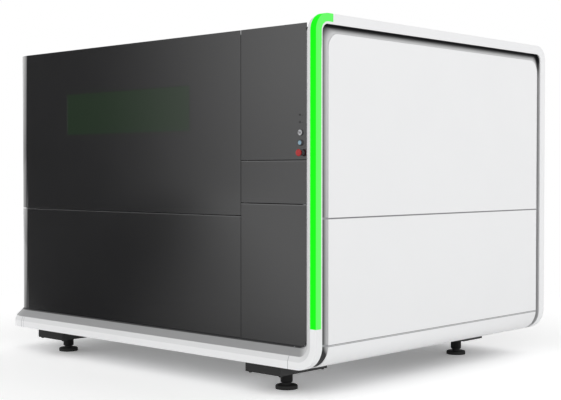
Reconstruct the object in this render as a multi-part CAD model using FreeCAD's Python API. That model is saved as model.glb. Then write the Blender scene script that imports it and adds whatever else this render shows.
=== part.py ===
"""Enclosed fibre laser cutting machine: cabinet, front door, pull-out worktable and gantry.

Millimetres. +X is the machine's right, +Y its back, +Z up.
The origin is on the floor, at the middle of the machine's width and depth.
"""
import FreeCAD, Part
import math
import os

Vector = FreeCAD.Vector

# ---- Driving dimensions -------------------------------------------------------------

# Overall cabinet
width = 2990.0
depth = 2404.0
body_height = 1950.0
foot_height = 165.0

# White frame: a folded sheet whose section runs round the right side and the bottom
sheet = 3.0
face_width = 43.0
chamfer_run = 30.0
chamfer_depth = 12.0
slope_run = 48.0
panel_step = 60.0
ledge = 15.0
sill_flange = 52.0
hoop_front_width = 52.0
hoop_top_width = 58.0
hoop_rear_width = 63.0
hoop_return = 28.0
hoop_corner_radius = 100.0
hoop_inner_radius = 45.0
belly_radius = 140.0
body_corner_radius = 185.0
sill_joint_inset = 208.0

# Light bar in the hoop's front edge
light_front_width = 43.0
light_side_width = 45.0
light_start = 235.0
light_end = 142.0
lens_thickness = 3.0
lens_gap = 0.3
channel_thickness = 4.0
led_width = 12.0
led_thickness = 1.5
led_inset = 12.0

# Right side: pressed skin with a sloping rim, and the panels on it
side_panel_thickness = 5.0
side_front_margin = 104.0
side_top_margin = 107.0
side_rear_margin = 107.0
side_corner_radius = 80.0
rim_overlap = 12.0

# Panel seams, above the underside of the body
front_top_drop = 44.0
seam_gap = 4.0
sill_gap = 3.0
middle_seam = 834.0
console_seam = 1154.0
keyboard_seam = 909.0
column_seam_inset = 630.0
panel_depth = 30.0
door_fold = 20.0
corner_seam_back = 90.0
rear_seam_inset = 30.0

# Door window
window_left_inset = 646.0
window_width = 1215.0
window_sill = 1338.0
window_height = 271.0
window_thickness = 6.0
window_gap = 0.5
window_lap = 15.0

# Welded frames
base_tube_width = 100.0
base_tube_height = 100.0
base_wall = 5.0
base_drop = 5.0
post_size = 50.0
post_wall = 3.0
side_post_inset = 45.0
left_post_gap = 45.0
girt_rise = 40.0

# Feet
foot_x_right = 417.0
foot_x_left = 493.0
foot_y_front = 220.0
foot_y_rear = 1947.0
foot_plate_width = 275.0
foot_plate_front_length = 400.0
foot_plate_rear_length = 226.0
foot_plate_thickness = 50.0
foot_plate_left_shift = 65.0
foot_stem_radius = 35.0
foot_neck_radius = 26.0
foot_neck_height = 10.0
foot_neck_flare = 6.0
foot_pad_radius = 65.0
foot_pad_height = 24.0
foot_pad_rounding = 8.0

# Door hinges and struts
hinge_pin_radius = 4.0
hinge_barrel_radius = 8.0
running_clearance = 0.06
hinge_gap = 0.5
hinge_width = 100.0
hinge_leaf = 3.0
hinge_leaf_drop = 50.0
door_frame_drop = 60.0
hinge_count = 3
hinge_end_inset = 330.0
door_member_width = 40.0
door_member_wall = 2.5
strut_fixed_back = 70.5
strut_fixed_drop = 129.0
strut_door_back = 50.5
strut_door_drop = 640.0
strut_radius = 14.0
strut_wall = 3.0
strut_body_length = 300.0
strut_gland = 15.0
strut_rod_radius = 5.0
strut_eye_radius = 12.0
strut_eye_width = 8.0
strut_offset = 18.0
door_travel = 80.0

# Bed, gantry and worktable
bed_left_gap = 175.0
bed_right_gap = 22.0
bed_beam_width = 120.0
bed_beam_height = 180.0
bed_top = 1040.0
bed_wall = 8.0
bed_front_inset = 162.0
bed_length = 1840.0
bed_leg_size = 100.0
rail_size = 20.0
rail_clearance = 0.3
rail_edge = 40.0
rail_end = 30.0
block_width = 60.0
block_length = 90.0
block_height = 30.0
block_lift = 4.0
block_spacing = 180.0
beam_depth = 160.0
beam_height = 180.0
beam_wall = 8.0
saddle_thickness = 20.0
saddle_length = 320.0
carriage_width = 240.0
carriage_end_gap = 50.0
carriage_plate = 20.0
head_plate_width = 110.0
head_plate_height = 320.0
nozzle_offset = 200.0
nozzle_rest = 1075.0
nozzle_radius = 6.0
lens_drawer_rise = 125.0
lens_drawer_height = 35.0
table_length = 1299.0
table_side_gap = 50.0
table_member = 60.0
table_height = 80.0
table_level = 760.0
slat_count = 19
slat_thickness = 4.0
slat_height = 100.0
slat_pitch = 54.0
slat_tooth_pitch = 60.0
slat_tooth_depth = 25.0
tray_depth = 180.0
tray_wall = 3.0
table_rail_depth = 40.0
table_rail_height = 50.0
table_rail_wall = 4.0

# Console column on the right of the front
glass_thickness = 6.0
console_frame_margin = 75.0
monitor_width = 330.0
monitor_rise = 115.0
monitor_depth = 46.0
button_x_inset = 163.0
estop_x_inset = 160.0
key_rise = 151.0
start_rise = 95.0
estop_rise = 40.0
bezel_radius = 15.0
bezel_length = 9.0
bezel_floor = 2.0
barrel_radius = 11.0
barrel_bore = 8.5
stem_clearance = 0.08
cap_radius = 12.0
cap_length = 6.0
button_travel = 3.0
estop_radius = 20.0
estop_travel = 5.0
estop_protrusion = 30.0
contact_block_size = 30.0
contact_block_length = 40.0
keyboard_depth = 380.0
keyboard_wall_height = 60.0
keyboard_side_inset = 25.0
keyboard_rail_depth = 16.0
keyboard_rail_height = 30.0
keyboard_rail_wall = 2.0
keyboard_inset = 60.0
keyboard_margin = 20.0
board_thickness = 14.0
key_rows = 5
key_columns = 14
key_depth_pitch = 27.0
key_gap = 4.0
key_lift = 6.0
pivot_radius = 3.0
pivot_inset = 14.0
pivot_back = 7.0
pivot_lug = 8.0
door_corner_radius = 34.0
laser_width = 440.0
laser_length = 760.0
laser_height = 190.0
laser_inset = 180.0
laser_handle = 40.0
handle_bar = 12.0
module_rows = 3
module_columns = 7
module_width = 70.0
module_height = 100.0
module_depth = 90.0
module_gap = 30.0
module_rise = 40.0
plate_gap = 60.0

# Back of the cabinet
rear_columns = 3
louvre_length = 130.0
louvre_height = 8.0
louvre_rows = 8
louvre_pitch = 26.0
collar_radius = 125.0
collar_drop = 330.0
collar_wall = 3.0
collar_length = 55.0
collar_flange = 25.0
gland_count = 3
gland_pitch = 70.0
gland_inset = 80.0
gland_rise = 60.0
gland_lip = 3.0
gland_radius = 22.0
gland_bore = 12.0
gland_flange = 8.0
gland_length = 30.0
gland_tail = 11.0

# How far the moving pieces slide, and how many degrees the lower door swings
gantry_travel = 1000.0
head_travel = 120.0
table_travel = 950.0
keyboard_travel = 320.0
cabinet_swing = 100.0

# ---- Planes worked out from the driving dimensions -----------------------------------

right_plane = width / 2
left_plane = -width / 2
front_plane = -depth / 2
rear_plane = depth / 2
underside = foot_height
top_plane = underside + body_height

ledge_rise = face_width + chamfer_run + slope_run
panel_front = front_plane + panel_step
panel_rear = rear_plane - panel_step
panel_left = left_plane + panel_step
panel_right = right_plane - ledge_rise - sill_gap
panel_bottom = underside + ledge_rise + sill_gap
panel_top = top_plane - front_top_drop
seam_level = underside + middle_seam
column_seam = right_plane - column_seam_inset
door_right = column_seam - seam_gap / 2
column_left = column_seam + seam_gap / 2

corner_x = panel_left + body_corner_radius
corner_front_y = panel_front + body_corner_radius
corner_rear_y = panel_rear - body_corner_radius
sill_corner_radius = body_corner_radius + panel_step
belly_x = right_plane - belly_radius
belly_z = underside + belly_radius
corner_seam_y = panel_front + corner_seam_back

rear_left_edge = corner_x + rear_seam_inset
frame_front = panel_front + panel_depth
frame_rear = panel_rear - panel_depth
frame_left = panel_left + panel_depth
frame_right = right_plane - side_post_inset
base_bottom = underside - base_drop
base_top = base_bottom + base_tube_height
hinge_y = panel_front + sheet + hinge_barrel_radius + hinge_gap
hinge_z = panel_top - 12.0
frame_top = hinge_z - hinge_barrel_radius
header_bottom = frame_top - post_size
partition_x = column_seam - 20.0
column_inner_left = partition_x + post_size
column_inner_right = frame_right - post_size

bed_left = panel_left + bed_left_gap
bed_right = partition_x - sheet - bed_right_gap
bed_front = front_plane + bed_front_inset
bed_rear = bed_front + bed_length
block_top = bed_top + block_lift + block_height
beam_bottom = block_top + saddle_thickness
beam_top = beam_bottom + beam_height
table_top = table_level + table_height
slat_top = table_top + slat_height
table_left = bed_left + bed_beam_width + table_side_gap
table_right = bed_right - bed_beam_width - table_side_gap
slat_front = panel_front + 122.0
gantry_y = slat_front + (slat_count - 1) * slat_pitch + nozzle_offset + 28.0
carriage_x = bed_left + bed_beam_width + carriage_end_gap + carriage_width / 2
# The carriage stops as far from the right end of the beam as it rests from the left.
carriage_travel = bed_right - bed_left - 2 * (carriage_x - bed_left)
nozzle_y = gantry_y - nozzle_offset


# ---- Shape helpers -------------------------------------------------------------------

def box(x0, x1, y0, y1, z0, z1):
    """A block between two planes along each axis."""
    return Part.makeBox(x1 - x0, y1 - y0, z1 - z0, Vector(x0, y0, z0))


def rod(start, direction, radius, length):
    """A cylinder from a start point."""
    return Part.makeCylinder(radius, length, Vector(*start), Vector(*direction))


def ring(start, direction, outer, inner, length):
    """A tube from a start point."""
    return rod(start, direction, outer, length).cut(rod(start, direction, inner, length))


def polygon(points):
    """A flat face from its corner points."""
    return Part.Face(Part.makePolygon(points + [points[0]]))


def fuse(shapes):
    """One clean solid from touching or overlapping shapes."""
    return shapes[0].multiFuse(shapes[1:]).removeSplitter()


def group(shapes):
    """Separate solids that share one node."""
    return Part.makeCompound(shapes)


def lathe(profile, origin, axis):
    """A body of revolution: profile points are (radius, distance along the axis)."""
    face = polygon([Vector(radius, 0, height) for radius, height in profile])
    solid = face.revolve(Vector(0, 0, 0), Vector(0, 0, 1), 360)
    solid.Placement = FreeCAD.Placement(
        Vector(*origin), FreeCAD.Rotation(Vector(0, 0, 1), Vector(*axis)))
    return solid


def folded(points, thickness):
    """The closed outline of a folded sheet: its outer line, and that line moved to its left."""
    moved = []
    for index, point in enumerate(points):
        normals = []
        for first, second in ((index - 1, index), (index, index + 1)):
            if first < 0 or second >= len(points):
                continue
            run = (points[second][0] - points[first][0], points[second][1] - points[first][1])
            size = math.hypot(*run)
            normals.append((-run[1] / size, run[0] / size))
        sum_a = sum(normal[0] for normal in normals)
        sum_b = sum(normal[1] for normal in normals)
        scale = thickness * len(normals) / (sum_a ** 2 + sum_b ** 2)
        moved.append((point[0] + sum_a * scale, point[1] + sum_b * scale))
    return points + moved[::-1]


def tube(x0, x1, y0, y1, z0, z1, axis, wall):
    """A hollow bar along one axis. The bars of a welded frame meet face to face."""
    inset_x, inset_y, inset_z = [0 if name == axis else wall for name in "xyz"]
    bore = box(x0 + inset_x, x1 - inset_x, y0 + inset_y, y1 - inset_y,
               z0 + inset_z, z1 - inset_z)
    return box(x0, x1, y0, y1, z0, z1).cut(bore)


# A frame section is a list of (inward, back) points: inward from the outer plane
# on the right, left or bottom, and back from the front or rear plane.

def plane_y(end, back):
    """The Y of a depth behind the front or rear plane."""
    return front_plane + back if end == "front" else rear_plane - back


def upright(section, end, z0, z1):
    """The section as a post at the right side."""
    points = [Vector(right_plane - a, plane_y(end, b), z0) for a, b in section]
    return polygon(points).extrude(Vector(0, 0, z1 - z0))


def top_bend(section, end):
    """The section turned from a post into the top rail."""
    points = [Vector(right_plane - a, plane_y(end, b), top_plane - hoop_corner_radius)
              for a, b in section]
    centre = Vector(0, plane_y(end, hoop_corner_radius), top_plane - hoop_corner_radius)
    axis = Vector(-1 if end == "front" else 1, 0, 0)
    return polygon(points).revolve(centre, axis, 90)


def top_rail(section, y0, y1):
    """The section as the rail along the top of the right side."""
    points = [Vector(right_plane - a, y0, top_plane - b) for a, b in section]
    return polygon(points).extrude(Vector(0, y1 - y0, 0))


def belly_bend(section, end):
    """The section turned from a post into a sill."""
    points = [Vector(right_plane - a, plane_y(end, b), belly_z) for a, b in section]
    return polygon(points).revolve(Vector(belly_x, 0, belly_z), Vector(0, 1, 0), 90)


def sill(section, end, x0, x1):
    """The section as a sill along the front or rear."""
    points = [Vector(x0, plane_y(end, b), underside + a) for a, b in section]
    return polygon(points).extrude(Vector(x1 - x0, 0, 0))


def sill_corner(section, end):
    """The section round a left corner."""
    points = [Vector(corner_x, plane_y(end, b), underside + a) for a, b in section]
    centre = Vector(corner_x, plane_y(end, sill_corner_radius), 0)
    axis = Vector(0, 0, -1 if end == "front" else 1)
    return polygon(points).revolve(centre, axis, 90)


def corner_wall(end, x_end, y_end, thickness, z0, z1):
    """A wall along the front or rear, round the left corner and along the left side."""
    inward = 1 if end == "front" else -1
    face_y = panel_front if end == "front" else panel_rear
    centre_y = corner_front_y if end == "front" else corner_rear_y
    diagonal = math.sqrt(0.5)

    def line(x0, y0, x1, y1):
        return Part.makeLine(Vector(x0, y0, z0), Vector(x1, y1, z0))

    def arc(radius):
        middle = Vector(corner_x - radius * diagonal, centre_y - inward * radius * diagonal, z0)
        return Part.Arc(Vector(corner_x, centre_y - inward * radius, z0), middle,
                        Vector(corner_x - radius, centre_y, z0)).toShape()

    inner_y = face_y + inward * thickness
    inner_x = panel_left + thickness
    edges = [
        line(x_end, face_y, corner_x, face_y),
        arc(body_corner_radius),
        line(panel_left, centre_y, panel_left, y_end),
        line(panel_left, y_end, inner_x, y_end),
        line(inner_x, y_end, inner_x, centre_y),
        arc(body_corner_radius - thickness),
        line(corner_x, inner_y, x_end, inner_y),
        line(x_end, inner_y, x_end, face_y),
    ]
    wire = Part.Wire(Part.__sortEdges__(edges))
    return Part.Face(wire).extrude(Vector(0, 0, z1 - z0))


def front_wall(thickness, z0, z1):
    """The moving part of the front: flat, then round the corner to the seam on its curve."""
    wall = corner_wall("front", door_right, 0, thickness, z0, z1)
    return wall.cut(box(left_plane, door_right, corner_seam_y, 1, z0, z1))


def left_wall(thickness, z0, z1):
    """The fixed part of the left side: from the seam on the front corner to the rear."""
    front = corner_wall("front", door_right, 0, thickness, z0, z1)
    front = front.cut(box(left_plane, door_right + 1, front_plane,
                          corner_seam_y + seam_gap, z0, z1))
    return front.fuse(corner_wall("rear", rear_left_edge, 0, thickness, z0, z1))


def slice_y(shape, y0, y1):
    """The part of a shape between two Y planes."""
    limits = shape.BoundBox
    return shape.common(box(limits.XMin, limits.XMax, y0, y1, limits.ZMin, limits.ZMax))


def side_outline(x, y0, y1, z0, z1, radius):
    """A closed outline on the right side, with two rounded top corners."""
    bend = radius * (1 - math.sqrt(0.5))
    points = {
        "low_front": Vector(x, y0, z0),
        "front": Vector(x, y0, z1 - radius),
        "front_mid": Vector(x, y0 + bend, z1 - bend),
        "top_front": Vector(x, y0 + radius, z1),
        "top_rear": Vector(x, y1 - radius, z1),
        "rear_mid": Vector(x, y1 - bend, z1 - bend),
        "rear": Vector(x, y1, z1 - radius),
        "low_rear": Vector(x, y1, z0),
    }
    edges = [
        Part.makeLine(points["low_front"], points["front"]),
        Part.Arc(points["front"], points["front_mid"], points["top_front"]).toShape(),
        Part.makeLine(points["top_front"], points["top_rear"]),
        Part.Arc(points["top_rear"], points["rear_mid"], points["rear"]).toShape(),
        Part.makeLine(points["rear"], points["low_rear"]),
        Part.makeLine(points["low_rear"], points["low_front"]),
    ]
    return Part.Wire(edges)


def side_plate(inset, thickness, y0, y1, z0, z1, radius):
    """A plate on the right side, a given inset behind the side plane."""
    wire = side_outline(right_plane - inset - thickness, y0, y1, z0, z1, radius)
    return Part.Face(wire).extrude(Vector(thickness, 0, 0))


os.makedirs("parts", exist_ok=True)


def save(name, shape):
    """Write one node."""
    shape.exportStep("parts/" + name + ".step")


# ---- White frame round the front, the right side and the bottom -----------------------

outer_line = [(0.0, sill_flange), (0.0, 0.0), (face_width, 0.0),
              (face_width + chamfer_run, chamfer_depth), (ledge_rise, panel_step),
              (ledge_rise, panel_step + ledge)]
sill_section = folded(outer_line, sheet)
hoop_section = folded([(0.0, hoop_return)] + outer_line[1:], sheet)


def hoop_bend_section(side_width):
    """The sill's section with the return into the side recess."""
    return folded([(hoop_return, side_width), (0.0, side_width)] + outer_line[1:], sheet)


def make_side_hoop():
    """Posts, top rail, side flange round the recess, and the bends into the sills."""
    bend_top = top_plane - hoop_corner_radius
    rail_front = front_plane + hoop_corner_radius
    rail_rear = rear_plane - hoop_corner_radius
    pieces = [top_rail(hoop_section, rail_front, rail_rear)]
    for end, side_width in (("front", hoop_front_width), ("rear", hoop_rear_width)):
        section = hoop_bend_section(side_width)
        pieces.append(upright(hoop_section, end, belly_z, bend_top))
        pieces.append(top_bend(hoop_section, end))
        pieces.append(belly_bend(section, end))
        pieces.append(sill(section, end, right_plane - sill_joint_inset, belly_x))
    window = (front_plane + hoop_front_width, rear_plane - hoop_rear_width,
              belly_z, top_plane - hoop_top_width)
    flange = side_plate(0, sheet, front_plane, rear_plane, belly_z, top_plane,
                        hoop_corner_radius)
    flange = flange.cut(side_plate(0, sheet, *window, hoop_inner_radius))
    lip = side_plate(0, hoop_return, window[0] - sheet, window[1] + sheet, belly_z,
                     window[3] + sheet, hoop_inner_radius + sheet)
    lip = lip.cut(side_plate(0, hoop_return, *window, hoop_inner_radius))
    hoop = fuse(pieces + [flange, lip])
    return hoop.cut(light_run(light_opening, light_start - lens_gap, light_end + lens_gap))


def light_run(section, start, end):
    """A section up the front post, round the top corner and along the top rail."""
    return fuse([
        upright(section, "front", underside + start, top_plane - hoop_corner_radius),
        top_bend(section, "front"),
        top_rail(section, front_plane + hoop_corner_radius, front_plane + end),
    ])


lens_line = [(0.0, light_side_width), (0.0, 0.0), (light_front_width, 0.0)]
light_opening = folded([(0.0, light_side_width + lens_gap), (0.0, 0.0),
                        (light_front_width + lens_gap, 0.0)], sheet + 0.1)
lens_section = folded(lens_line, lens_thickness)
channel_line = [(sheet, hoop_front_width - sheet), (sheet, sheet),
                (light_front_width - sheet, sheet)]
channel_section = folded(channel_line, channel_thickness)
led_section = [(led_inset, sheet), (led_inset + led_width, sheet),
               (led_inset + led_width, sheet + led_thickness),
               (led_inset, sheet + led_thickness)]

save("side_hoop", make_side_hoop())
lens = light_run(lens_section, light_start, light_end)
leds = light_run(led_section, light_start + 10, light_end - 10)
channel = light_run(channel_section, light_start - 10, light_end + 10).cut(leds)
save("light_bar_lens", lens)
save("light_bar_leds", leds)
save("light_bar_channel", channel)

front_sill_left = corner_x
save("front_sill", sill(sill_section, "front", front_sill_left,
                        right_plane - sill_joint_inset))
save("corner_sill", sill_corner(sill_section, "front"))
rear_sill_section = folded([(0.0, hoop_rear_width)] + outer_line[1:], sheet)
plinth_points = [Vector(left_plane + b, corner_front_y, underside + a)
                 for a, b in sill_section]
left_plinth = fuse([
    polygon(plinth_points).extrude(Vector(0, corner_rear_y - corner_front_y, 0)),
    sill_corner(rear_sill_section, "rear"),
    sill(rear_sill_section, "rear", corner_x, right_plane - sill_joint_inset),
])
save("left_plinth", left_plinth)

# ---- Right side ------------------------------------------------------------------------

hole = (front_plane + hoop_front_width, rear_plane - hoop_rear_width,
        belly_z, top_plane - hoop_top_width)
raised = (front_plane + side_front_margin, rear_plane - side_rear_margin,
          belly_z, top_plane - side_top_margin)


def raised_block(shift):
    """The block under the raised middle of the side skin, moved inwards by a shift."""
    deep = side_outline(right_plane - hoop_return - shift, *hole, hoop_inner_radius)
    near = side_outline(right_plane - side_panel_thickness - shift, *raised,
                        side_corner_radius)
    return Part.makeLoft([deep, near], True, True)


def make_side_skin():
    """A pressed sheet: a flat rim behind the hoop, a sloping wall and a raised middle."""
    rim = side_plate(hoop_return, sheet, hole[0] - rim_overlap, hole[1] + rim_overlap,
                     belly_z, hole[3] + rim_overlap, hoop_inner_radius + rim_overlap)
    flat = rim.fuse(raised_block(0)).cut(raised_block(sheet))
    line = [(hoop_return, hoop_front_width - rim_overlap), (hoop_return, hoop_front_width),
            (side_panel_thickness, side_front_margin),
            (side_panel_thickness, depth - side_rear_margin),
            (hoop_return, depth - hoop_rear_width),
            (hoop_return, depth - hoop_rear_width + rim_overlap)]
    # The sheet lies inwards of this line, so the line is read from back to front.
    section = folded(line[::-1], sheet)
    return fuse([flat, belly_bend(section, "front")])


save("side_skin", make_side_skin())
upper_panel = side_plate(0, side_panel_thickness, raised[0], raised[1],
                         seam_level + seam_gap / 2, raised[3], side_corner_radius)
save("side_panel_upper", upper_panel)
save("side_panel_lower", box(right_plane - side_panel_thickness, right_plane, raised[0],
                             raised[1], belly_z, seam_level - seam_gap / 2))
belly_section = [(0, side_front_margin), (0, depth - side_rear_margin),
                 (side_panel_thickness, depth - side_rear_margin),
                 (side_panel_thickness, side_front_margin)]
belly = belly_bend(belly_section, "front")
save("belly_panel", belly.cut(box(belly_x, right_plane + 1, front_plane, rear_plane,
                                  belly_z - seam_gap, belly_z + 1)))

# ---- Feet and base frame -----------------------------------------------------------------

foot_columns = ((left_plane + foot_x_left, foot_plate_left_shift),
                (right_plane - foot_x_right, 0.0))
foot_rows = ((front_plane + foot_y_front, foot_plate_front_length),
             (front_plane + foot_y_rear, foot_plate_rear_length))
plate_bottom = base_bottom - foot_plate_thickness

plates = []
stems = []
pads = []
for foot_x, plate_shift in foot_columns:
    plate_x = foot_x + plate_shift
    for foot_y, plate_length in foot_rows:
        plates.append(box(plate_x - foot_plate_width / 2, plate_x + foot_plate_width / 2,
                          foot_y - plate_length / 2, foot_y + plate_length / 2,
                          plate_bottom, base_bottom))
        stem_profile = [(0, 0), (foot_neck_radius, 0), (foot_neck_radius, foot_neck_height),
                        (foot_stem_radius, foot_neck_height + foot_neck_flare),
                        (foot_stem_radius, plate_bottom - foot_pad_height),
                        (0, plate_bottom - foot_pad_height)]
        stems.append(lathe(stem_profile, (foot_x, foot_y, foot_pad_height), (0, 0, 1)))
        pad = rod((foot_x, foot_y, 0), (0, 0, 1), foot_pad_radius, foot_pad_height)
        rims = [edge for edge in pad.Edges if abs(edge.BoundBox.ZMin - foot_pad_height) < 1e-6]
        pads.append(pad.makeFillet(foot_pad_rounding, rims))
save("foot_plates", group(plates))
save("foot_stems", group(stems))
save("foot_pads", group(pads))

base_front = front_plane + hoop_front_width
base_rear = rear_plane - hoop_rear_width
base_left = left_plane + sill_flange
rear_cross = front_plane + foot_y_rear - base_tube_width / 2
bed_leg_columns = (bed_left + (bed_beam_width - bed_leg_size) / 2,
                   bed_right - (bed_beam_width + bed_leg_size) / 2)
base_members = [
    tube(corner_x, belly_x, base_front, base_front + base_tube_width,
         base_bottom, base_top, "x", base_wall),
    tube(corner_x, belly_x, base_rear - base_tube_width, base_rear,
         base_bottom, base_top, "x", base_wall),
    tube(base_left, base_left + base_tube_width, corner_front_y, corner_rear_y,
         base_bottom, base_top, "y", base_wall),
    tube(belly_x - base_tube_width, belly_x, base_front + base_tube_width,
         base_rear - base_tube_width, base_bottom, base_top, "y", base_wall),
]
for cross_y in (base_front + base_tube_width, rear_cross):
    base_members.append(tube(base_left + base_tube_width, belly_x - base_tube_width,
                             cross_y, cross_y + base_tube_width,
                             base_bottom, base_top, "x", base_wall))
for leg_x in bed_leg_columns:
    for run_y0, run_y1 in ((base_front + 2 * base_tube_width, rear_cross),
                           (rear_cross + base_tube_width, base_rear - base_tube_width)):
        base_members.append(tube(leg_x, leg_x + bed_leg_size, run_y0, run_y1,
                                 base_bottom, base_top, "y", base_wall))
save("base_frame", group(base_members))

# ---- Cabinet frame -------------------------------------------------------------------------

header_left = corner_x - 40.0
skin_back = right_plane - side_panel_thickness - sheet
left_post_y = corner_front_y + left_post_gap
side_y0 = frame_front + post_size
side_y1 = frame_rear - post_size
rail_foot = top_plane - panel_step - ledge - sheet
header_right = right_plane - ledge_rise
frame_members = [
    tube(header_left, header_right, frame_front, side_y0, header_bottom, frame_top, "x",
         post_wall),
    tube(corner_x, header_right, side_y1, frame_rear, header_bottom, frame_top, "x",
         post_wall),
    tube(corner_x, frame_right, frame_front, side_y0, base_top, base_top + post_size, "x",
         post_wall),
    tube(corner_x, frame_right, side_y1, frame_rear, base_top, base_top + post_size, "x",
         post_wall),
]
# The headers stop at the hoop's top rail, and plates under it join them to the posts.
header_ends = [box(header_right, frame_right, post_y, post_y + post_size, header_bottom,
                   rail_foot) for post_y in (frame_front, side_y1)]
for post_x, post_y in ((column_inner_right, frame_front), (column_inner_right, side_y1),
                       (partition_x, frame_front), (partition_x, side_y1)):
    frame_members.append(tube(post_x, post_x + post_size, post_y, post_y + post_size,
                              base_top + post_size, header_bottom, "z", post_wall))
left_rear_y = corner_rear_y - post_size
for post_y in (left_post_y, left_rear_y):
    frame_members.append(tube(frame_left, frame_left + post_size, post_y, post_y + post_size,
                              base_top, frame_top, "z", post_wall))
    frame_members.append(tube(frame_left + post_size, corner_x, post_y, post_y + post_size,
                              header_bottom, frame_top, "x", post_wall))
for link_start, link_end in ((side_y0, left_post_y + post_size), (left_rear_y, side_y1)):
    frame_members.append(tube(corner_x, corner_x + post_size, link_start, link_end,
                              header_bottom, frame_top, "y", post_wall))
for level in (base_top, seam_level - post_size / 2, header_bottom):
    frame_members.append(tube(frame_left, frame_left + post_size, left_post_y + post_size,
                              left_rear_y, level, level + post_size, "y", post_wall))
for level in (base_top, header_bottom):
    frame_members.append(tube(partition_x, column_inner_left, side_y0, side_y1, level,
                              level + post_size, "y", post_wall))
raised_corner_level = top_plane - side_top_margin - side_corner_radius
for level in (base_top + post_size + girt_rise, seam_level - post_size / 2,
              raised_corner_level - post_size):
    frame_members.append(tube(column_inner_right, skin_back, side_y0, side_y1, level,
                              level + post_size, "y", post_wall))
laser_front = frame_front + laser_inset
for shelf_y in (laser_front + 80.0, laser_front + laser_length - 130.0):
    frame_members.append(tube(column_inner_left, frame_right, shelf_y, shelf_y + post_size,
                              base_top, base_top + post_size, "x", post_wall))
save("cabinet_frame", group(frame_members + header_ends))

# ---- Fixed covers ----------------------------------------------------------------------------


def pan(x0, x1, z0, z1, end, fold):
    """A flat cover with four folded edges, on the front or rear."""
    face_y = panel_front if end == "front" else panel_rear
    inward = 1 if end == "front" else -1
    y0, y1 = sorted((face_y, face_y + inward * fold))
    inner0, inner1 = sorted((face_y + inward * sheet, face_y + inward * (fold + 1)))
    return box(x0, x1, y0, y1, z0, z1).cut(
        box(x0 + sheet, x1 - sheet, inner0, inner1, z0 + sheet, z1 - sheet))


def low_corner_cut(end, radius):
    """What a cover loses at its lower right corner, beside the hoop's bend."""
    face_y = panel_front if end == "front" else panel_rear
    centre_x = panel_right - radius
    centre_z = panel_bottom + radius
    corner = box(centre_x, panel_right, face_y - 50, face_y + 50, panel_bottom, centre_z)
    return corner.cut(rod((centre_x, face_y - 51, centre_z), (0, 1, 0), radius, 102))


lower_band = (panel_bottom, seam_level - seam_gap / 2)
upper_band = (seam_level + seam_gap / 2, panel_top)
for name, (z0, z1) in (("left_panel_lower", lower_band), ("left_panel_upper", upper_band)):
    deep_wall = left_wall(panel_depth, z0, z1)
    edge_y = corner_seam_y + seam_gap
    save(name, fuse([
        left_wall(sheet, z0, z1),
        left_wall(panel_depth, z0, z0 + sheet),
        left_wall(panel_depth, z1 - sheet, z1),
        slice_y(deep_wall, edge_y, edge_y + sheet),
        box(rear_left_edge - sheet, rear_left_edge, frame_rear, panel_rear, z0, z1),
    ]))

rear_start = rear_left_edge + seam_gap
rear_pitch = (panel_right - rear_start + seam_gap) / rear_columns
collar_x = rear_start + rear_pitch / 2
collar_z = panel_top - collar_drop
bend_radius = belly_radius - ledge_rise - sill_gap
gland_z = panel_bottom + gland_rise
gland_columns = [panel_right - gland_inset - number * gland_pitch
                 for number in range(gland_count)]
rear_panels = []
for column in range(rear_columns):
    x0 = rear_start + column * rear_pitch
    x1 = x0 + rear_pitch - seam_gap
    for z0, z1 in (lower_band, upper_band):
        cover = pan(x0, x1, z0, z1, "rear", panel_depth)
        slots = []
        for side in (-1, 1):
            slot_x = (x0 + x1) / 2 + side * rear_pitch / 4
            for row in range(louvre_rows):
                slot_z = z0 + 120.0 + row * louvre_pitch
                slots.append(box(slot_x - louvre_length / 2, slot_x + louvre_length / 2,
                                 panel_rear - 2 * sheet, panel_rear + 1,
                                 slot_z, slot_z + louvre_height))
        cover = cover.cut(Part.makeCompound(slots))
        if column == rear_columns - 1 and z0 == panel_bottom:
            cover = cover.cut(low_corner_cut("rear", bend_radius))
            for gland_x in gland_columns:
                cover = cover.cut(rod((gland_x, panel_rear + 1, gland_z), (0, -1, 0),
                                      gland_bore + gland_lip + running_clearance, 2 * sheet))
        if column == 0 and z1 == panel_top:
            cover = cover.cut(rod((collar_x, panel_rear + 1, collar_z), (0, -1, 0),
                                  collar_radius - collar_wall, 2 * sheet))
        rear_panels.append(cover)
save("rear_panels", group(rear_panels))
glands = []
for gland_x in gland_columns:
    gland_seat = (gland_x, panel_rear, gland_z)
    glands.append(fuse([
        ring(gland_seat, (0, 1, 0), gland_radius, gland_bore, gland_flange),
        ring(gland_seat, (0, 1, 0), gland_radius - gland_lip, gland_bore, gland_length),
        ring(gland_seat, (0, -1, 0), gland_bore + gland_lip, gland_bore, gland_tail),
    ]))
save("cable_glands", group(glands))
collar_base = (collar_x, panel_rear, collar_z)
save("exhaust_collar", fuse([
    ring(collar_base, (0, 1, 0), collar_radius + collar_flange,
         collar_radius - collar_wall, sheet),
    ring(collar_base, (0, 1, 0), collar_radius, collar_radius - collar_wall, collar_length),
]))

roof_front = hinge_y + 50.0
roof_radius = body_corner_radius - panel_depth
roof_level = frame_top
roof = box(frame_left, header_right, roof_front, frame_rear, roof_level,
           roof_level + sheet)
for corner_y, sign in ((corner_front_y, -1), (corner_rear_y, 1)):
    corner_end = corner_y + sign * body_corner_radius
    block = box(panel_left, corner_x, min(corner_y, corner_end), max(corner_y, corner_end),
                roof_level, roof_level + sheet)
    disc = rod((corner_x, corner_y, roof_level), (0, 0, 1), roof_radius, sheet)
    roof = roof.cut(block.cut(disc))
save("roof_panel", roof)
save("partition_panel", box(partition_x - sheet, partition_x, side_y0 - post_size, frame_rear,
                            base_top + post_size, header_bottom))

# ---- Front door: skin, inner frame, window, hinges and struts ---------------------------------

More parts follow.
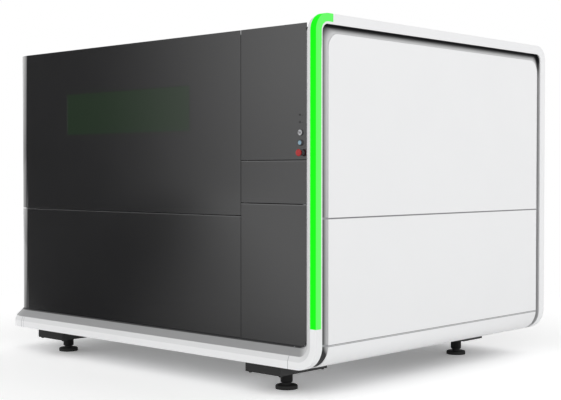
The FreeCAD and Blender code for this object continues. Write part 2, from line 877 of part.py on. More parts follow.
window_x0 = panel_left + window_left_inset
window_x1 = window_x0 + window_width
window_z0 = underside + window_sill
window_z1 = window_z0 + window_height
member_back = panel_front + panel_depth - sheet
member_front = panel_front + sheet
left_member = corner_x
right_member = door_right - 8.0 - door_member_width


def door_bar(x0, x1, z0, z1, axis):
    """A bar of the door's inner frame."""
    return tube(x0, x1, member_front, member_back, z0, z1, axis, door_member_wall)


def make_door_skin():
    """The curved sheet, folded in along the bottom and the right, with the window cut out."""
    z0, z1 = upper_band
    skin = fuse([
        front_wall(sheet, z0, z1),
        front_wall(door_fold, z0, z0 + sheet),
        box(door_right - sheet, door_right, panel_front, panel_front + door_fold, z0,
            hinge_z - 2 * hinge_barrel_radius),
    ])
    return skin.cut(box(window_x0, window_x1, panel_front - 1, panel_front + 2 * sheet,
                        window_z0, window_z1))


save("door_skin", make_door_skin())
door_top = hinge_z - door_frame_drop
door_low = upper_band[0] + sheet
member_levels = [door_low, window_z0 - window_lap - door_member_width,
                 window_z1 + window_lap, door_top - door_member_width]
bars = [door_bar(left_member + door_member_width, right_member, level,
                 level + door_member_width, "x") for level in member_levels]
brackets = []
strut_x = []
for member_x in (left_member, right_member):
    bars.append(door_bar(member_x, member_x + door_member_width, door_low, door_top, "z"))
    strut_x.append(member_x - strut_offset)

fixed_end = (hinge_y + strut_fixed_back, hinge_z - strut_fixed_drop)
door_end = (hinge_y + strut_door_back, hinge_z - strut_door_drop)
strut_run = (door_end[0] - fixed_end[0], door_end[1] - fixed_end[1])
strut_length = math.hypot(*strut_run)
strut_direction = (0, strut_run[0] / strut_length, strut_run[1] / strut_length)


def swung(point, degrees):
    """A (y, z) point of the door after the door opens by an angle."""
    angle = math.radians(degrees)
    back = point[0] - hinge_y
    up = point[1] - hinge_z
    return (hinge_y + back * math.cos(angle) + up * math.sin(angle),
            hinge_z - back * math.sin(angle) + up * math.cos(angle))


# How far the springs stretch and turn while the door opens.
open_end = swung(door_end, door_travel)
open_run = (open_end[0] - fixed_end[0], open_end[1] - fixed_end[1])
strut_stroke = math.hypot(*open_run) - strut_length
strut_swing = (math.degrees(math.atan2(-open_run[0], -open_run[1]))
               - math.degrees(math.atan2(-strut_run[0], -strut_run[1])))

fixed_brackets = []
cylinders = []
rods = []
for member_x, centre_x in zip((left_member, right_member), strut_x):
    ear_edge = member_x + strut_eye_width
    ear = box(member_x, ear_edge, member_back, door_end[0] + strut_eye_radius,
              door_end[1] - 20, door_end[1] + 20)
    stub_gap = strut_offset - strut_eye_width / 2 - running_clearance * 5
    stub = rod((member_x, *door_end), (-1, 0, 0), strut_rod_radius, stub_gap)
    brackets.append(fuse([ear, stub]))

    hanger = box(member_x, ear_edge, fixed_end[0] - 20, fixed_end[0] + 20,
                 fixed_end[1] - 15, header_bottom)
    pin = rod((member_x, *fixed_end), (-1, 0, 0), strut_rod_radius,
              strut_offset + strut_eye_width)
    fixed_brackets.append(fuse([hanger, pin]))

    eye_start = centre_x - strut_eye_width / 2
    rod_bore = strut_rod_radius + running_clearance
    tube_start = strut_eye_radius + 6.0
    bore_start = tube_start + 2 * strut_wall
    bore_end = strut_body_length - strut_gland
    neck = strut_eye_width / 2 - 0.5
    barrel = lathe([(0, strut_eye_radius - 3), (neck, strut_eye_radius - 3),
                    (neck, tube_start), (strut_radius, tube_start),
                    (strut_radius, strut_body_length), (rod_bore, strut_body_length),
                    (rod_bore, bore_end), (strut_radius - strut_wall, bore_end),
                    (strut_radius - strut_wall, bore_start), (0, bore_start)],
                   (centre_x, *fixed_end), strut_direction)
    eye = ring((eye_start, *fixed_end), (1, 0, 0), strut_eye_radius, rod_bore,
               strut_eye_width)
    cylinders.append(fuse([barrel, eye]))

    piston_start = bore_start + 10.0
    piston = strut_radius - strut_wall - running_clearance
    shaft = lathe([(0, piston_start), (piston, piston_start),
                   (piston, piston_start + 12), (strut_rod_radius, piston_start + 12),
                   (strut_rod_radius, strut_length - strut_eye_radius + 3),
                   (0, strut_length - strut_eye_radius + 3)],
                  (centre_x, *fixed_end), strut_direction)
    rod_eye = ring((eye_start, *door_end), (1, 0, 0), strut_eye_radius, rod_bore,
                   strut_eye_width)
    rods.append(fuse([shaft, rod_eye]))
save("door_frame", group(bars + brackets))
save("strut_cylinders", group(cylinders))
save("strut_rods", group(rods))

pane = box(window_x0 + window_gap, window_x1 - window_gap, panel_front,
           panel_front + sheet, window_z0 + window_gap, window_z1 - window_gap)
backing = box(window_x0 - window_lap, window_x1 + window_lap, panel_front + sheet,
              panel_front + sheet + window_thickness, window_z0 - window_lap,
              window_z1 + window_lap)
save("door_window", fuse([pane, backing]))

hinge_span = door_right - corner_x - 2 * hinge_end_inset
hinge_spacing = hinge_span / (hinge_count - 1)
knuckle = hinge_width / 5
fixed_leaves = []
door_leaves = []
hinge_pins = []
for number in range(hinge_count):
    middle = corner_x + hinge_end_inset + number * hinge_spacing
    bore = rod((middle - hinge_width, hinge_y, hinge_z), (1, 0, 0),
               hinge_pin_radius + running_clearance, 2 * hinge_width)
    leaf_bottom = hinge_z - hinge_barrel_radius
    tongue_back = hinge_y + hinge_barrel_radius + 2
    fixed_leaf = fuse([
        rod((middle - knuckle, hinge_y, hinge_z), (1, 0, 0), hinge_barrel_radius,
            2 * knuckle),
        box(middle - knuckle, middle + knuckle, hinge_y, tongue_back, leaf_bottom,
            leaf_bottom + hinge_leaf),
        box(middle - hinge_width / 2, middle + hinge_width / 2, tongue_back, roof_front,
            leaf_bottom, leaf_bottom + hinge_leaf),
    ])
    fixed_leaves.append(fixed_leaf.cut(bore))
    plate_back = panel_front + sheet + hinge_leaf
    moving = [box(middle - hinge_width / 2, middle + hinge_width / 2, panel_front + sheet,
                  plate_back, hinge_z - hinge_leaf_drop, hinge_z - hinge_barrel_radius - 2)]
    for side in (-1, 1):
        inner_edge = middle + side * (knuckle + hinge_gap)
        outer_edge = middle + side * hinge_width / 2
        x0, x1 = sorted((inner_edge, outer_edge))
        moving.append(box(x0, x1, panel_front + sheet, plate_back, hinge_z - 20, hinge_z))
        moving.append(rod((x0, hinge_y, hinge_z), (1, 0, 0), hinge_barrel_radius, x1 - x0))
    door_leaves.append(fuse(moving).cut(bore))
    hinge_pins.append(rod((middle - hinge_width / 2 - 3, hinge_y, hinge_z), (1, 0, 0),
                          hinge_pin_radius, hinge_width + 6))
save("header_brackets", group(fixed_brackets + fixed_leaves))
save("door_hinge_leaves", group(door_leaves))
save("hinge_pins", group(hinge_pins))

# ---- Bed, gantry, carriage and cutting head -----------------------------------------------------

beam_columns = (bed_left, bed_right - bed_beam_width)
leg_rows = (bed_front + 20, bed_front + bed_length / 2, bed_rear - bed_leg_size - 20)
bed_members = []
for column, leg_x in zip(beam_columns, bed_leg_columns):
    bed_members.append(tube(column, column + bed_beam_width, bed_front, bed_rear,
                            bed_top - bed_beam_height, bed_top, "y", bed_wall))
    for leg_y in leg_rows:
        bed_members.append(tube(leg_x, leg_x + bed_leg_size, leg_y, leg_y + bed_leg_size,
                                base_top, bed_top - bed_beam_height, "z", bed_wall))
bed_members.append(tube(bed_leg_columns[0] + bed_leg_size, bed_leg_columns[1],
                        leg_rows[2], leg_rows[2] + bed_leg_size,
                        bed_top - bed_beam_height - bed_leg_size,
                        bed_top - bed_beam_height, "x", bed_wall))
save("bed_frame", group(bed_members))

rail_columns = [column + bed_beam_width / 2 for column in beam_columns]
save("y_rails", group([box(x - rail_size / 2, x + rail_size / 2, bed_front + rail_size / 2,
                           bed_rear - 2 * bed_leg_size, bed_top, bed_top + rail_size)
                       for x in rail_columns]))
slot = rail_size / 2 + rail_clearance
y_blocks = []
for x in rail_columns:
    for side in (-1, 1):
        middle = gantry_y + side * block_spacing / 2
        block = box(x - block_width / 2, x + block_width / 2, middle - block_length / 2,
                    middle + block_length / 2, bed_top + block_lift, block_top)
        y_blocks.append(block.cut(box(x - slot, x + slot, middle - block_length,
                                      middle + block_length, bed_top,
                                      bed_top + rail_size + rail_clearance)))
save("y_blocks", group(y_blocks))

beam = tube(bed_left, bed_right, gantry_y - beam_depth / 2, gantry_y + beam_depth / 2,
            beam_bottom, beam_top, "x", beam_wall)
saddles = [box(x - bed_beam_width / 2, x + bed_beam_width / 2, gantry_y - saddle_length / 2,
               gantry_y + saddle_length / 2, block_top, beam_bottom) for x in rail_columns]
save("gantry_beam", fuse([beam] + saddles))

beam_front = gantry_y - beam_depth / 2
rail_levels = (beam_bottom + rail_edge, beam_top - rail_edge)
save("x_rails", group([box(bed_left + rail_end, bed_right - rail_end, beam_front - rail_size,
                           beam_front, z - rail_size / 2, z + rail_size / 2)
                       for z in rail_levels]))
carriage_back = beam_front - block_lift - block_height
carriage_front = carriage_back - carriage_plate
x_blocks = []
for z in rail_levels:
    for side in (-1, 1):
        middle = carriage_x + side * (carriage_width - block_length) / 2
        block = box(middle - block_length / 2, middle + block_length / 2, carriage_back,
                    beam_front - block_lift, z - block_width / 2 + 5, z + block_width / 2 - 5)
        x_blocks.append(block.cut(box(middle - block_length, middle + block_length,
                                      beam_front - rail_size - rail_clearance, beam_front,
                                      z - slot, z + slot)))
carriage_plate_solid = box(carriage_x - carriage_width / 2, carriage_x + carriage_width / 2,
                           carriage_front, carriage_back, beam_bottom, beam_top + 60)
z_rail_x = [carriage_x + side * head_plate_width / 4 for side in (-1, 1)]
z_rails = [box(x - rail_size / 4, x + rail_size / 4, carriage_front - rail_size / 2,
               carriage_front, beam_bottom, beam_top + 60) for x in z_rail_x]
save("carriage", group([fuse([carriage_plate_solid] + z_rails)] + x_blocks))

head_back = carriage_front - rail_clearance
head_front = head_back - carriage_plate
head_bottom = beam_bottom + 10
head_plate = box(carriage_x - head_plate_width / 2, carriage_x + head_plate_width / 2,
                 head_front, head_back, head_bottom, head_bottom + head_plate_height)
z_slot = rail_size / 4 + rail_clearance
for x in z_rail_x:
    head_plate = head_plate.cut(box(x - z_slot, x + z_slot,
                                    carriage_front - rail_size / 2 - rail_clearance,
                                    carriage_front, head_bottom - 1,
                                    head_bottom + head_plate_height + 1))
save("head_plate", head_plate)
body_radius = head_front - nozzle_y
head_profile = [
    (0, 0), (nozzle_radius / 2, 0), (nozzle_radius * 2.5, 25), (nozzle_radius * 2.5, 40),
    (nozzle_radius * 4, 44), (nozzle_radius * 4, 62), (body_radius - 6, 66),
    (body_radius - 6, 110), (body_radius, 112), (body_radius, 330), (body_radius - 8, 340),
    (24, 345), (24, 400), (17, 405), (17, 470), (0, 470),
]
head = lathe(head_profile, (carriage_x, nozzle_y, nozzle_rest), (0, 0, 1))
cartridge = box(carriage_x - body_radius - 8, carriage_x + body_radius + 8,
                nozzle_y - body_radius + 6, head_front, nozzle_rest + lens_drawer_rise,
                nozzle_rest + lens_drawer_rise + lens_drawer_height)
save("cutting_head", fuse([head, cartridge]))

# ---- Pull-out worktable ----------------------------------------------------------------------------

table_z0, table_z1 = lower_band
save("table_front", fuse([
    front_wall(sheet, table_z0, table_z1),
    front_wall(door_fold, table_z0, table_z0 + sheet),
    front_wall(door_fold, table_z1 - sheet, table_z1),
    slice_y(front_wall(door_fold, table_z0, table_z1), corner_seam_y - sheet, corner_seam_y),
    box(door_right - sheet, door_right, panel_front, panel_front + door_fold, table_z0,
        table_z1),
]))
table_back = panel_front + sheet + table_length
table_members = []
for x0, x1 in ((table_left, table_left + table_member),
               (table_right - table_member, table_right)):
    table_members.append(tube(x0, x1, panel_front + sheet, table_back, table_level,
                              table_top, "y", base_wall))
slat_back = slat_front + (slat_count - 1) * slat_pitch
for y0 in (panel_front + sheet, slat_back + slat_pitch, table_back - table_member):
    table_members.append(tube(table_left + table_member, table_right - table_member, y0,
                              y0 + table_member, table_level, table_top, "x", base_wall))

slat_x0 = table_left + 10
slat_x1 = table_right - 10
tooth_count = int((slat_x1 - slat_x0) // slat_tooth_pitch)
slat_points = [(slat_x0, table_top)]
tooth_start = (slat_x0 + slat_x1 - tooth_count * slat_tooth_pitch) / 2
slat_points.append((slat_x0, slat_top - slat_tooth_depth))
for tooth in range(tooth_count):
    slat_points.append((tooth_start + tooth * slat_tooth_pitch,
                        slat_top - slat_tooth_depth))
    slat_points.append((tooth_start + (tooth + 0.5) * slat_tooth_pitch, slat_top))
slat_points.append((tooth_start + tooth_count * slat_tooth_pitch,
                    slat_top - slat_tooth_depth))
slat_points.append((slat_x1, slat_top - slat_tooth_depth))
slat_points.append((slat_x1, table_top))
slats = []
for number in range(slat_count):
    y0 = slat_front + number * slat_pitch - slat_thickness / 2
    face = polygon([Vector(x, y0, z) for x, z in slat_points])
    slats.append(face.extrude(Vector(0, slat_thickness, 0)))
save("table_slats", group(slats))

tray_x0 = table_left + table_member / 2
tray_x1 = table_right - table_member / 2
tray_y0 = slat_front - slat_pitch / 2
tray_y1 = slat_back + slat_pitch
tray = box(tray_x0, tray_x1, tray_y0, tray_y1, table_level - tray_depth, table_level)
tray = tray.cut(box(tray_x0 + tray_wall, tray_x1 - tray_wall, tray_y0 + tray_wall,
                    tray_y1 - tray_wall, table_level - tray_depth + tray_wall, table_level))
save("scrap_tray", tray)

rail_mid = (table_level + table_top) / 2


def channel_rail(wall_x, sign, y0, y1, middle, depth, height, wall):
    """A fixed channel that opens sideways, away from the wall that it is bolted to."""
    x0, x1 = sorted((wall_x, wall_x + sign * depth))
    c0, c1 = sorted((wall_x + sign * wall, wall_x + sign * (depth + 1)))
    return box(x0, x1, y0, y1, middle - height / 2, middle + height / 2).cut(
        box(c0, c1, y0 - 1, y1 + 1, middle - height / 2 + wall, middle + height / 2 - wall))


def runner_bar(wall_x, sign, inner_x, y0, y1, middle, height, wall):
    """A bar that runs in a channel rail."""
    x0, x1 = sorted((wall_x + sign * (wall + rail_clearance), inner_x))
    reach = height / 2 - wall - rail_clearance
    return box(x0, x1, y0, y1, middle - reach, middle + reach)


drawer_rails = []
for wall_x, table_x, sign in ((bed_leg_columns[0] + bed_leg_size, table_left, 1),
                              (bed_leg_columns[1], table_right, -1)):
    drawer_rails.append(channel_rail(wall_x, sign, bed_front, bed_rear - bed_leg_size - 20,
                                     rail_mid, table_rail_depth, table_rail_height,
                                     table_rail_wall))
    table_members.append(runner_bar(wall_x, sign, table_x, frame_front, table_back,
                                    rail_mid, table_rail_height, table_rail_wall))
save("table_frame", group(table_members))

# ---- Console column: screen, buttons, keyboard drawer, lower door ------------------------------------

console_low = underside + console_seam + seam_gap / 2
keyboard_low = underside + keyboard_seam + seam_gap / 2
button_x = right_plane - button_x_inset
estop_x = right_plane - estop_x_inset
estop_z = underside + console_seam + estop_rise
button_places = [(button_x, underside + console_seam + key_rise),
                 (button_x, underside + console_seam + start_rise), (estop_x, estop_z)]
glass_back = panel_front + glass_thickness
holes = [rod((x, panel_front - 1, z), (0, 1, 0), barrel_radius + running_clearance,
             panel_depth + 2) for x, z in button_places]
glass = box(column_left, panel_right, panel_front, glass_back, console_low, panel_top)
save("console_panel", glass.cut(Part.makeCompound(holes)))
surround = box(column_left + 5, panel_right - 5, glass_back, frame_front, console_low + 5,
               panel_top - 22)
screen_x0 = column_left + console_frame_margin
screen_x1 = screen_x0 + monitor_width
screen_z1 = panel_top - console_frame_margin
screen_z0 = console_low + monitor_rise
surround = surround.cut(box(screen_x0, screen_x1, glass_back - 1, frame_front + 1,
                            screen_z0, screen_z1))
save("console_frame", surround.cut(Part.makeCompound(holes)))
screen = box(screen_x0 + 0.5, screen_x1 - 0.5, glass_back, glass_back + monitor_depth,
             screen_z0 + 0.5, screen_z1 - 0.5)
lugs = box(screen_x0 - 20, screen_x1 + 20, frame_front, frame_front + 4,
           screen_z0 + 60, screen_z1 - 60)
save("monitor", fuse([screen, lugs]))

bezels = []
blocks = []
for x, z in button_places:
    bezels.append(fuse([
        ring((x, panel_front - bezel_length, z), (0, 1, 0), bezel_radius,
             cap_radius + rail_clearance, bezel_length),
        ring((x, panel_front - bezel_floor, z), (0, 1, 0), bezel_radius, barrel_bore,
             bezel_floor),
        ring((x, panel_front - bezel_floor, z), (0, 1, 0), barrel_radius, barrel_bore,
             panel_depth + bezel_floor),
    ]))
    blocks.append(box(x - contact_block_size / 2, x + contact_block_size / 2, frame_front,
                      frame_front + contact_block_length, z - contact_block_size / 2,
                      z + contact_block_size / 2))
save("button_bezels", group(bezels))
save("contact_blocks", group(blocks))

stem_radius = barrel_bore - stem_clearance
stem_end = frame_front - 6.0
key_x, key_z = button_places[0]
key_front = panel_front - bezel_length - 2
key_body = fuse([
    rod((key_x, key_front, key_z), (0, 1, 0), cap_radius, bezel_length),
    rod((key_x, key_front, key_z), (0, 1, 0), stem_radius, stem_end - key_front),
    box(key_x - 3, key_x + 3, key_front - 8, key_front + 1, key_z - 11, key_z + 11),
])
save("key_switch", key_body)
start_x, start_z = button_places[1]
cap_back = panel_front - bezel_floor - button_travel - rail_clearance
start_body = fuse([
    rod((start_x, cap_back - cap_length, start_z), (0, 1, 0), cap_radius, cap_length),
    rod((start_x, cap_back, start_z), (0, 1, 0), stem_radius, stem_end - cap_back),
])
save("start_button", start_body)
head_rear = panel_front - bezel_length - estop_travel - 1
head_face = panel_front - estop_protrusion
stem_front = head_face + 8
save("estop_stem", rod((estop_x, stem_front, estop_z), (0, 1, 0), stem_radius,
                       stem_end - stem_front))
head_thickness = head_rear - head_face
mushroom = [(0, head_thickness), (stem_radius + 3, head_thickness),
            (estop_radius, head_thickness * 0.55), (estop_radius, head_thickness * 0.4),
            (estop_radius - 2.5, head_thickness * 0.12), (estop_radius - 7, 0), (0, 0)]
estop_head = lathe(mushroom, (estop_x, head_face, estop_z), (0, 1, 0))
estop_bore = rod((estop_x, stem_front - rail_clearance, estop_z), (0, 1, 0),
                 stem_radius + running_clearance, estop_protrusion)
save("estop_head", estop_head.cut(estop_bore))

save("keyboard_front", pan(column_left, panel_right, keyboard_low,
                           console_low - seam_gap, "front", door_fold))
tray_left = column_inner_left + keyboard_side_inset
tray_right = panel_right - keyboard_side_inset
tray_floor = keyboard_low + 25.0
tray_end = panel_front + sheet + keyboard_depth
shelf = box(tray_left, tray_right, panel_front + sheet, tray_end, tray_floor,
            tray_floor + keyboard_wall_height)
shelf = shelf.cut(box(tray_left + sheet, tray_right - sheet, panel_front + 2 * sheet,
                      tray_end - sheet, tray_floor + sheet,
                      tray_floor + keyboard_wall_height))
runner_level = tray_floor + keyboard_wall_height / 2
right_rail_x = header_right - keyboard_rail_wall
for wall_x, side_x, sign in ((column_inner_left, tray_left, 1),
                             (right_rail_x, tray_right, -1)):
    shelf = shelf.fuse(runner_bar(wall_x, sign, side_x, frame_front, tray_end,
                                  runner_level, keyboard_rail_height, keyboard_rail_wall))
    rail = channel_rail(wall_x, sign, frame_front + 10, tray_end + 20, runner_level,
                        keyboard_rail_depth, keyboard_rail_height, keyboard_rail_wall)
    if sign < 0:
        rail = fuse([rail, box(right_rail_x, column_inner_right, frame_front + 10, side_y0,
                               runner_level - keyboard_rail_height / 2,
                               runner_level + keyboard_rail_height / 2)])
    drawer_rails.append(rail)
save("drawer_rails", group(drawer_rails))
save("keyboard_tray", shelf.removeSplitter())
keys = []
board_x0 = tray_left + keyboard_margin
board_x1 = tray_right - keyboard_margin
board_y0 = panel_front + keyboard_inset
board_z = tray_floor + sheet
board = box(board_x0, board_x1, board_y0, board_y0 + (key_rows + 0.5) * key_depth_pitch,
            board_z, board_z + board_thickness)
key_pitch = (board_x1 - board_x0 - keyboard_margin) / key_columns
for row in range(key_rows):
    for column in range(key_columns):
        x0 = board_x0 + keyboard_margin / 2 + column * key_pitch
        y0 = board_y0 + keyboard_margin / 2 + row * key_depth_pitch
        keys.append(box(x0 + key_gap / 2, x0 + key_pitch - key_gap / 2, y0,
                        y0 + key_depth_pitch - key_gap, board_z + board_thickness,
                        board_z + board_thickness + key_lift))
save("keyboard", fuse([board] + keys))
door_z1 = keyboard_low - seam_gap - 0.5
lower_door = pan(column_left, panel_right, panel_bottom, door_z1, "front", door_fold)
# The hinge side has no fold, so that its edge can turn past the frame.
lower_door = lower_door.cut(box(panel_right - sheet, panel_right, panel_front + sheet,
                                panel_front + door_fold, panel_bottom, door_z1))
lower_door = lower_door.cut(low_corner_cut("front", door_corner_radius))
pivot_x = panel_right - pivot_inset
pivot_y = panel_front + pivot_back
lug_z = belly_z - pivot_lug / 2
lug = box(pivot_x - pivot_lug, pivot_x + pivot_lug, panel_front + sheet,
          pivot_y + pivot_back, lug_z, lug_z + pivot_lug)
lower_door = lower_door.fuse(lug).cut(rod((pivot_x, pivot_y, panel_bottom - 1), (0, 0, 1),
                                          pivot_radius + running_clearance,
                                          door_z1 - panel_bottom + 2))
save("cabinet_door", lower_door)
plate_z = keyboard_low - seam_gap + 0.5
pivot_plate = fuse([
    box(pivot_x - 11, pivot_x + 11, panel_front + 2, frame_front, plate_z, plate_z + 2),
    box(pivot_x - 11, column_inner_right, frame_front - 8, frame_front + 30, plate_z,
        plate_z + 2),
    rod((pivot_x, pivot_y, plate_z - 12), (0, 0, 1), pivot_radius, 12),
])
sill_top = underside + ledge_rise
foot_pin = rod((pivot_x, pivot_y, sill_top), (0, 0, 1), pivot_radius,
               lug_z + pivot_lug - sill_top)
# The lower pin stands on the sill where it starts to turn up into the hoop.
sill_bend = rod((belly_x, panel_front, belly_z), (0, 1, 0), belly_radius - ledge_rise,
                2 * panel_depth)
foot_pin = foot_pin.common(sill_bend)
save("cabinet_door_pivots", group([pivot_plate, foot_pin]))

shelf_top = base_top + post_size
laser_x0 = (column_inner_left + column_inner_right - laser_width) / 2
laser_body = box(laser_x0, laser_x0 + laser_width, laser_front, laser_front + laser_length,
                 shelf_top, shelf_top + laser_height)
for x in (laser_x0 + laser_handle, laser_x0 + laser_width - laser_handle):
    handle = box(x - handle_bar / 2, x + handle_bar / 2, laser_front - laser_handle,
                 laser_front, shelf_top + laser_handle,
                 shelf_top + laser_height - laser_handle)
    grip = box(x - handle_bar, x + handle_bar, laser_front - laser_handle + handle_bar,
               laser_front, shelf_top + laser_handle + handle_bar,
               shelf_top + laser_height - laser_handle - handle_bar)
    laser_body = laser_body.fuse(handle.cut(grip))
save("laser_source", laser_body.removeSplitter())

plate_z0 = shelf_top + laser_height + plate_gap
plate_z1 = door_z1 - module_rise
module_pitch = module_width + module_gap
board_plate = box(column_inner_left, column_inner_left + sheet, frame_front,
                  frame_front + (module_columns + 1) * module_pitch, plate_z0, plate_z1)
modules = []
for row in range(module_rows):
    for column in range(module_columns):
        y0 = frame_front + module_width + column * module_pitch
        z0 = plate_z0 + module_rise + row * (module_height + module_rise)
        modules.append(box(column_inner_left + sheet, column_inner_left + sheet + module_depth,
                           y0, y0 + module_width, z0, z0 + module_height))
save("electrical_unit", fuse([board_plate] + modules))
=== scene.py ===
import math

import bmesh
import bpy
from mathutils import Matrix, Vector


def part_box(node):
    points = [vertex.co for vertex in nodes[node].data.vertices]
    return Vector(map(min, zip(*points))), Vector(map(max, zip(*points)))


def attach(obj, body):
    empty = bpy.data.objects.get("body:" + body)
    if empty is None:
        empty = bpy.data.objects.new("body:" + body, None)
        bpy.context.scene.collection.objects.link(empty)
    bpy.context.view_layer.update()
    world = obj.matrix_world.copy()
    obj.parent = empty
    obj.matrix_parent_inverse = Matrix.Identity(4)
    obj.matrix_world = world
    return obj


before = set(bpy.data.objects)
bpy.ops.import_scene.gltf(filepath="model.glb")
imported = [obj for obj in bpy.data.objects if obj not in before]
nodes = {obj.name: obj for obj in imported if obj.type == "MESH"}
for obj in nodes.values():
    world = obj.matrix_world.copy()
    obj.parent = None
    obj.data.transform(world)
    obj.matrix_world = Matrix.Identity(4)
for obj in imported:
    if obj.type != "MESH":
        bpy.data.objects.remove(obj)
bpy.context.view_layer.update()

# ---- Camera ----------------------------------------------------------------------------------
# The photographer stands about 8 m from the machine's middle, in front of its right corner,
# with the lens at chest height and almost level.

camera_data = bpy.data.cameras.new("camera")
camera_data.lens = 73.405
camera_data.sensor_width = 36.0
camera = bpy.data.objects.new("camera", camera_data)
camera.location = (5.539, -5.843, 1.250)
camera.rotation_euler = (math.radians(88.62), 0.0, math.radians(42.85))
bpy.context.scene.collection.objects.link(camera)
bpy.context.scene.camera = camera
bpy.context.scene.view_settings.view_transform = "Standard"

# ---- Studio ----------------------------------------------------------------------------------
# A white floor runs into a white background, and a soft white tent lights the machine, less
# from overhead. In its gloss the room is an even white, a little dimmer near the floor, with
# a dark curtain on the left and a dark mat before it.


class Socket:
    """A socket of a node tree. Sums of sockets and numbers add Math nodes."""

    def __init__(self, tree, source=None):
        self.tree = tree
        self.source = source

    def node(self, kind, settings=None, inputs=None, output=0):
        """Adds a node: its settings first, then the values or links of its sockets."""
        made = self.tree.nodes.new("ShaderNode" + kind)
        for name, value in (settings or {}).items():
            setattr(made, name, value)
        for name, value in (inputs or {}).items():
            if isinstance(value, Socket):
                self.tree.links.new(value.source, made.inputs[name])
            else:
                made.inputs[name].default_value = value
        return Socket(self.tree, made.outputs[output] if made.outputs else None)

    def math(self, operation, first, second):
        return self.node("Math", {"operation": operation}, {0: first, 1: second})

    def __add__(self, other):
        return self.math("ADD", self, other)

    def __radd__(self, other):
        return self.math("ADD", other, self)

    def __sub__(self, other):
        return self.math("SUBTRACT", self, other)

    def __rsub__(self, other):
        return self.math("SUBTRACT", other, self)

    def __mul__(self, other):
        return self.math("MULTIPLY", self, other)

    def __rmul__(self, other):
        return self.math("MULTIPLY", other, self)


def faded(value, start, end, low=0.0, high=1.0):
    """A soft step from low to high as a value goes from start to end."""
    return value.node("MapRange", {"interpolation_type": "SMOOTHSTEP"},
                      {"Value": value, "From Min": start, "From Max": end,
                       "To Min": low, "To Max": high}, "Result")


def blended(first, second, share):
    """One colour that turns into another by a share."""
    return share.node("Mix", {"data_type": "RGBA"}, {0: share, 6: first, 7: second}, 2)


def across(direction, turn):
    """The sine of how far a direction is turned, clockwise from the front, past an angle.

    For a place, it is how far the place lies past a line at that angle."""
    angle = math.radians(turn)
    return direction.node("VectorMath", {"operation": "DOT_PRODUCT"},
                          {0: direction, 1: (-math.cos(angle), math.sin(angle), 0.0)},
                          "Value")


def light_studio():
    """The world: white for the camera, a soft tent for matt surfaces, and an even room with
    the curtain for glossy ones."""
    world = bpy.data.worlds.new("studio")
    bpy.context.scene.world = world
    world.use_nodes = True
    world.node_tree.nodes.clear()
    room = Socket(world.node_tree)
    direction = room.node("TexCoord", output="Generated")
    height = room.node("SeparateXYZ", inputs={0: direction}, output="Z")
    behind = room.node("SeparateXYZ", inputs={0: direction}, output="Y")
    level_light = 1.34
    overhead_light = 0.50
    tent = faded(height, 0.10, 0.90, level_light, overhead_light) * (1.02 - behind * 0.17)
    curtain_right = 47.1
    curtain_left = 63.0
    curtain = (faded(across(direction, curtain_right), -0.110, 0.095)
               * faded(across(direction, curtain_left), 0.085, -0.085))
    near_floor = faded(height, 0.000, 0.110, 0.82, 1.0)
    mirrored = (0.92 - 0.89 * curtain) * near_floor
    glossy = room.node("LightPath", output="Is Glossy Ray")
    seen = room.node("LightPath", output="Is Camera Ray")
    through = room.node("LightPath", output="Is Transmission Ray")
    level = tent * (1.0 - glossy) + mirrored * glossy
    shown = seen + through
    strength = level * (1.0 - shown) + shown
    background = room.node("Background", inputs={"Color": (1.0, 1.0, 1.0, 1.0),
                                                 "Strength": strength})
    room.node("OutputWorld", inputs={"Surface": background})


def lay_floor():
    """A floor that keeps the machine's soft shadow and runs out into the white room.

    The dark mat shows only in gloss. It ends softly on the left and at the back, and thins
    out towards the right."""
    finish = bpy.data.materials.new("floor")
    finish.use_nodes = True
    finish.node_tree.nodes.clear()
    surface = Socket(finish.node_tree)
    white = (1.0, 1.0, 1.0, 1.0)
    seen = surface.node("LightPath", output="Is Camera Ray")
    matt = surface.node("BsdfDiffuse", inputs={"Color": 0.93 + seen * 0.30})
    glow = surface.node("Emission", inputs={"Color": white, "Strength": 0.18})
    near = surface.node("AddShader", inputs={0: matt, 1: glow})
    far = surface.node("Emission", inputs={"Color": white, "Strength": 1.0})
    place = surface.node("TexCoord", output="Object")
    away = surface.node("VectorMath", {"operation": "LENGTH"}, {0: place}, "Value")
    ground = surface.node("MixShader", inputs={0: faded(away, 2.2, 4.6), 1: near, 2: far})
    right_corner = (0.75, -1.14, 0.0)
    left_corner = (-1.30, -1.14, 0.0)
    from_right = surface.node("VectorMath", {"operation": "SUBTRACT"},
                              {0: place, 1: right_corner})
    from_left = surface.node("VectorMath", {"operation": "SUBTRACT"},
                             {0: place, 1: left_corner})
    depth = surface.node("SeparateXYZ", inputs={0: place}, output="Y")
    right_edge = faded(across(from_right, 47.0), -1.40, 1.10, 0.26, 1.0)
    left_edge = faded(across(from_left, 60.0), 0.40, -0.40)
    back_edge = faded(depth, -1.10, -1.40)
    glossy = surface.node("LightPath", output="Is Glossy Ray")
    covered = right_edge * back_edge * left_edge * glossy
    mat = surface.node("Emission", inputs={"Color": white, "Strength": 0.03})
    both = surface.node("MixShader", inputs={0: covered, 1: ground, 2: mat})
    surface.node("OutputMaterial", inputs={"Surface": both})
    shape = bmesh.new()
    bmesh.ops.create_grid(shape, x_segments=1, y_segments=1, size=40.0)
    mesh = bpy.data.meshes.new("floor")
    shape.to_mesh(mesh)
    shape.free()
    mesh.materials.append(finish)
    floor = bpy.data.objects.new("floor", mesh)
    bpy.context.scene.collection.objects.link(floor)


light_studio()
lay_floor()

# ---- White frame -----------------------------------------------------------------------------
# Folded 3 mm steel sheet, welded and ground at the corners, then powder-coated white with a
# faint orange-peel skin. The hoop and the sills are bolted to the base frame from inside.


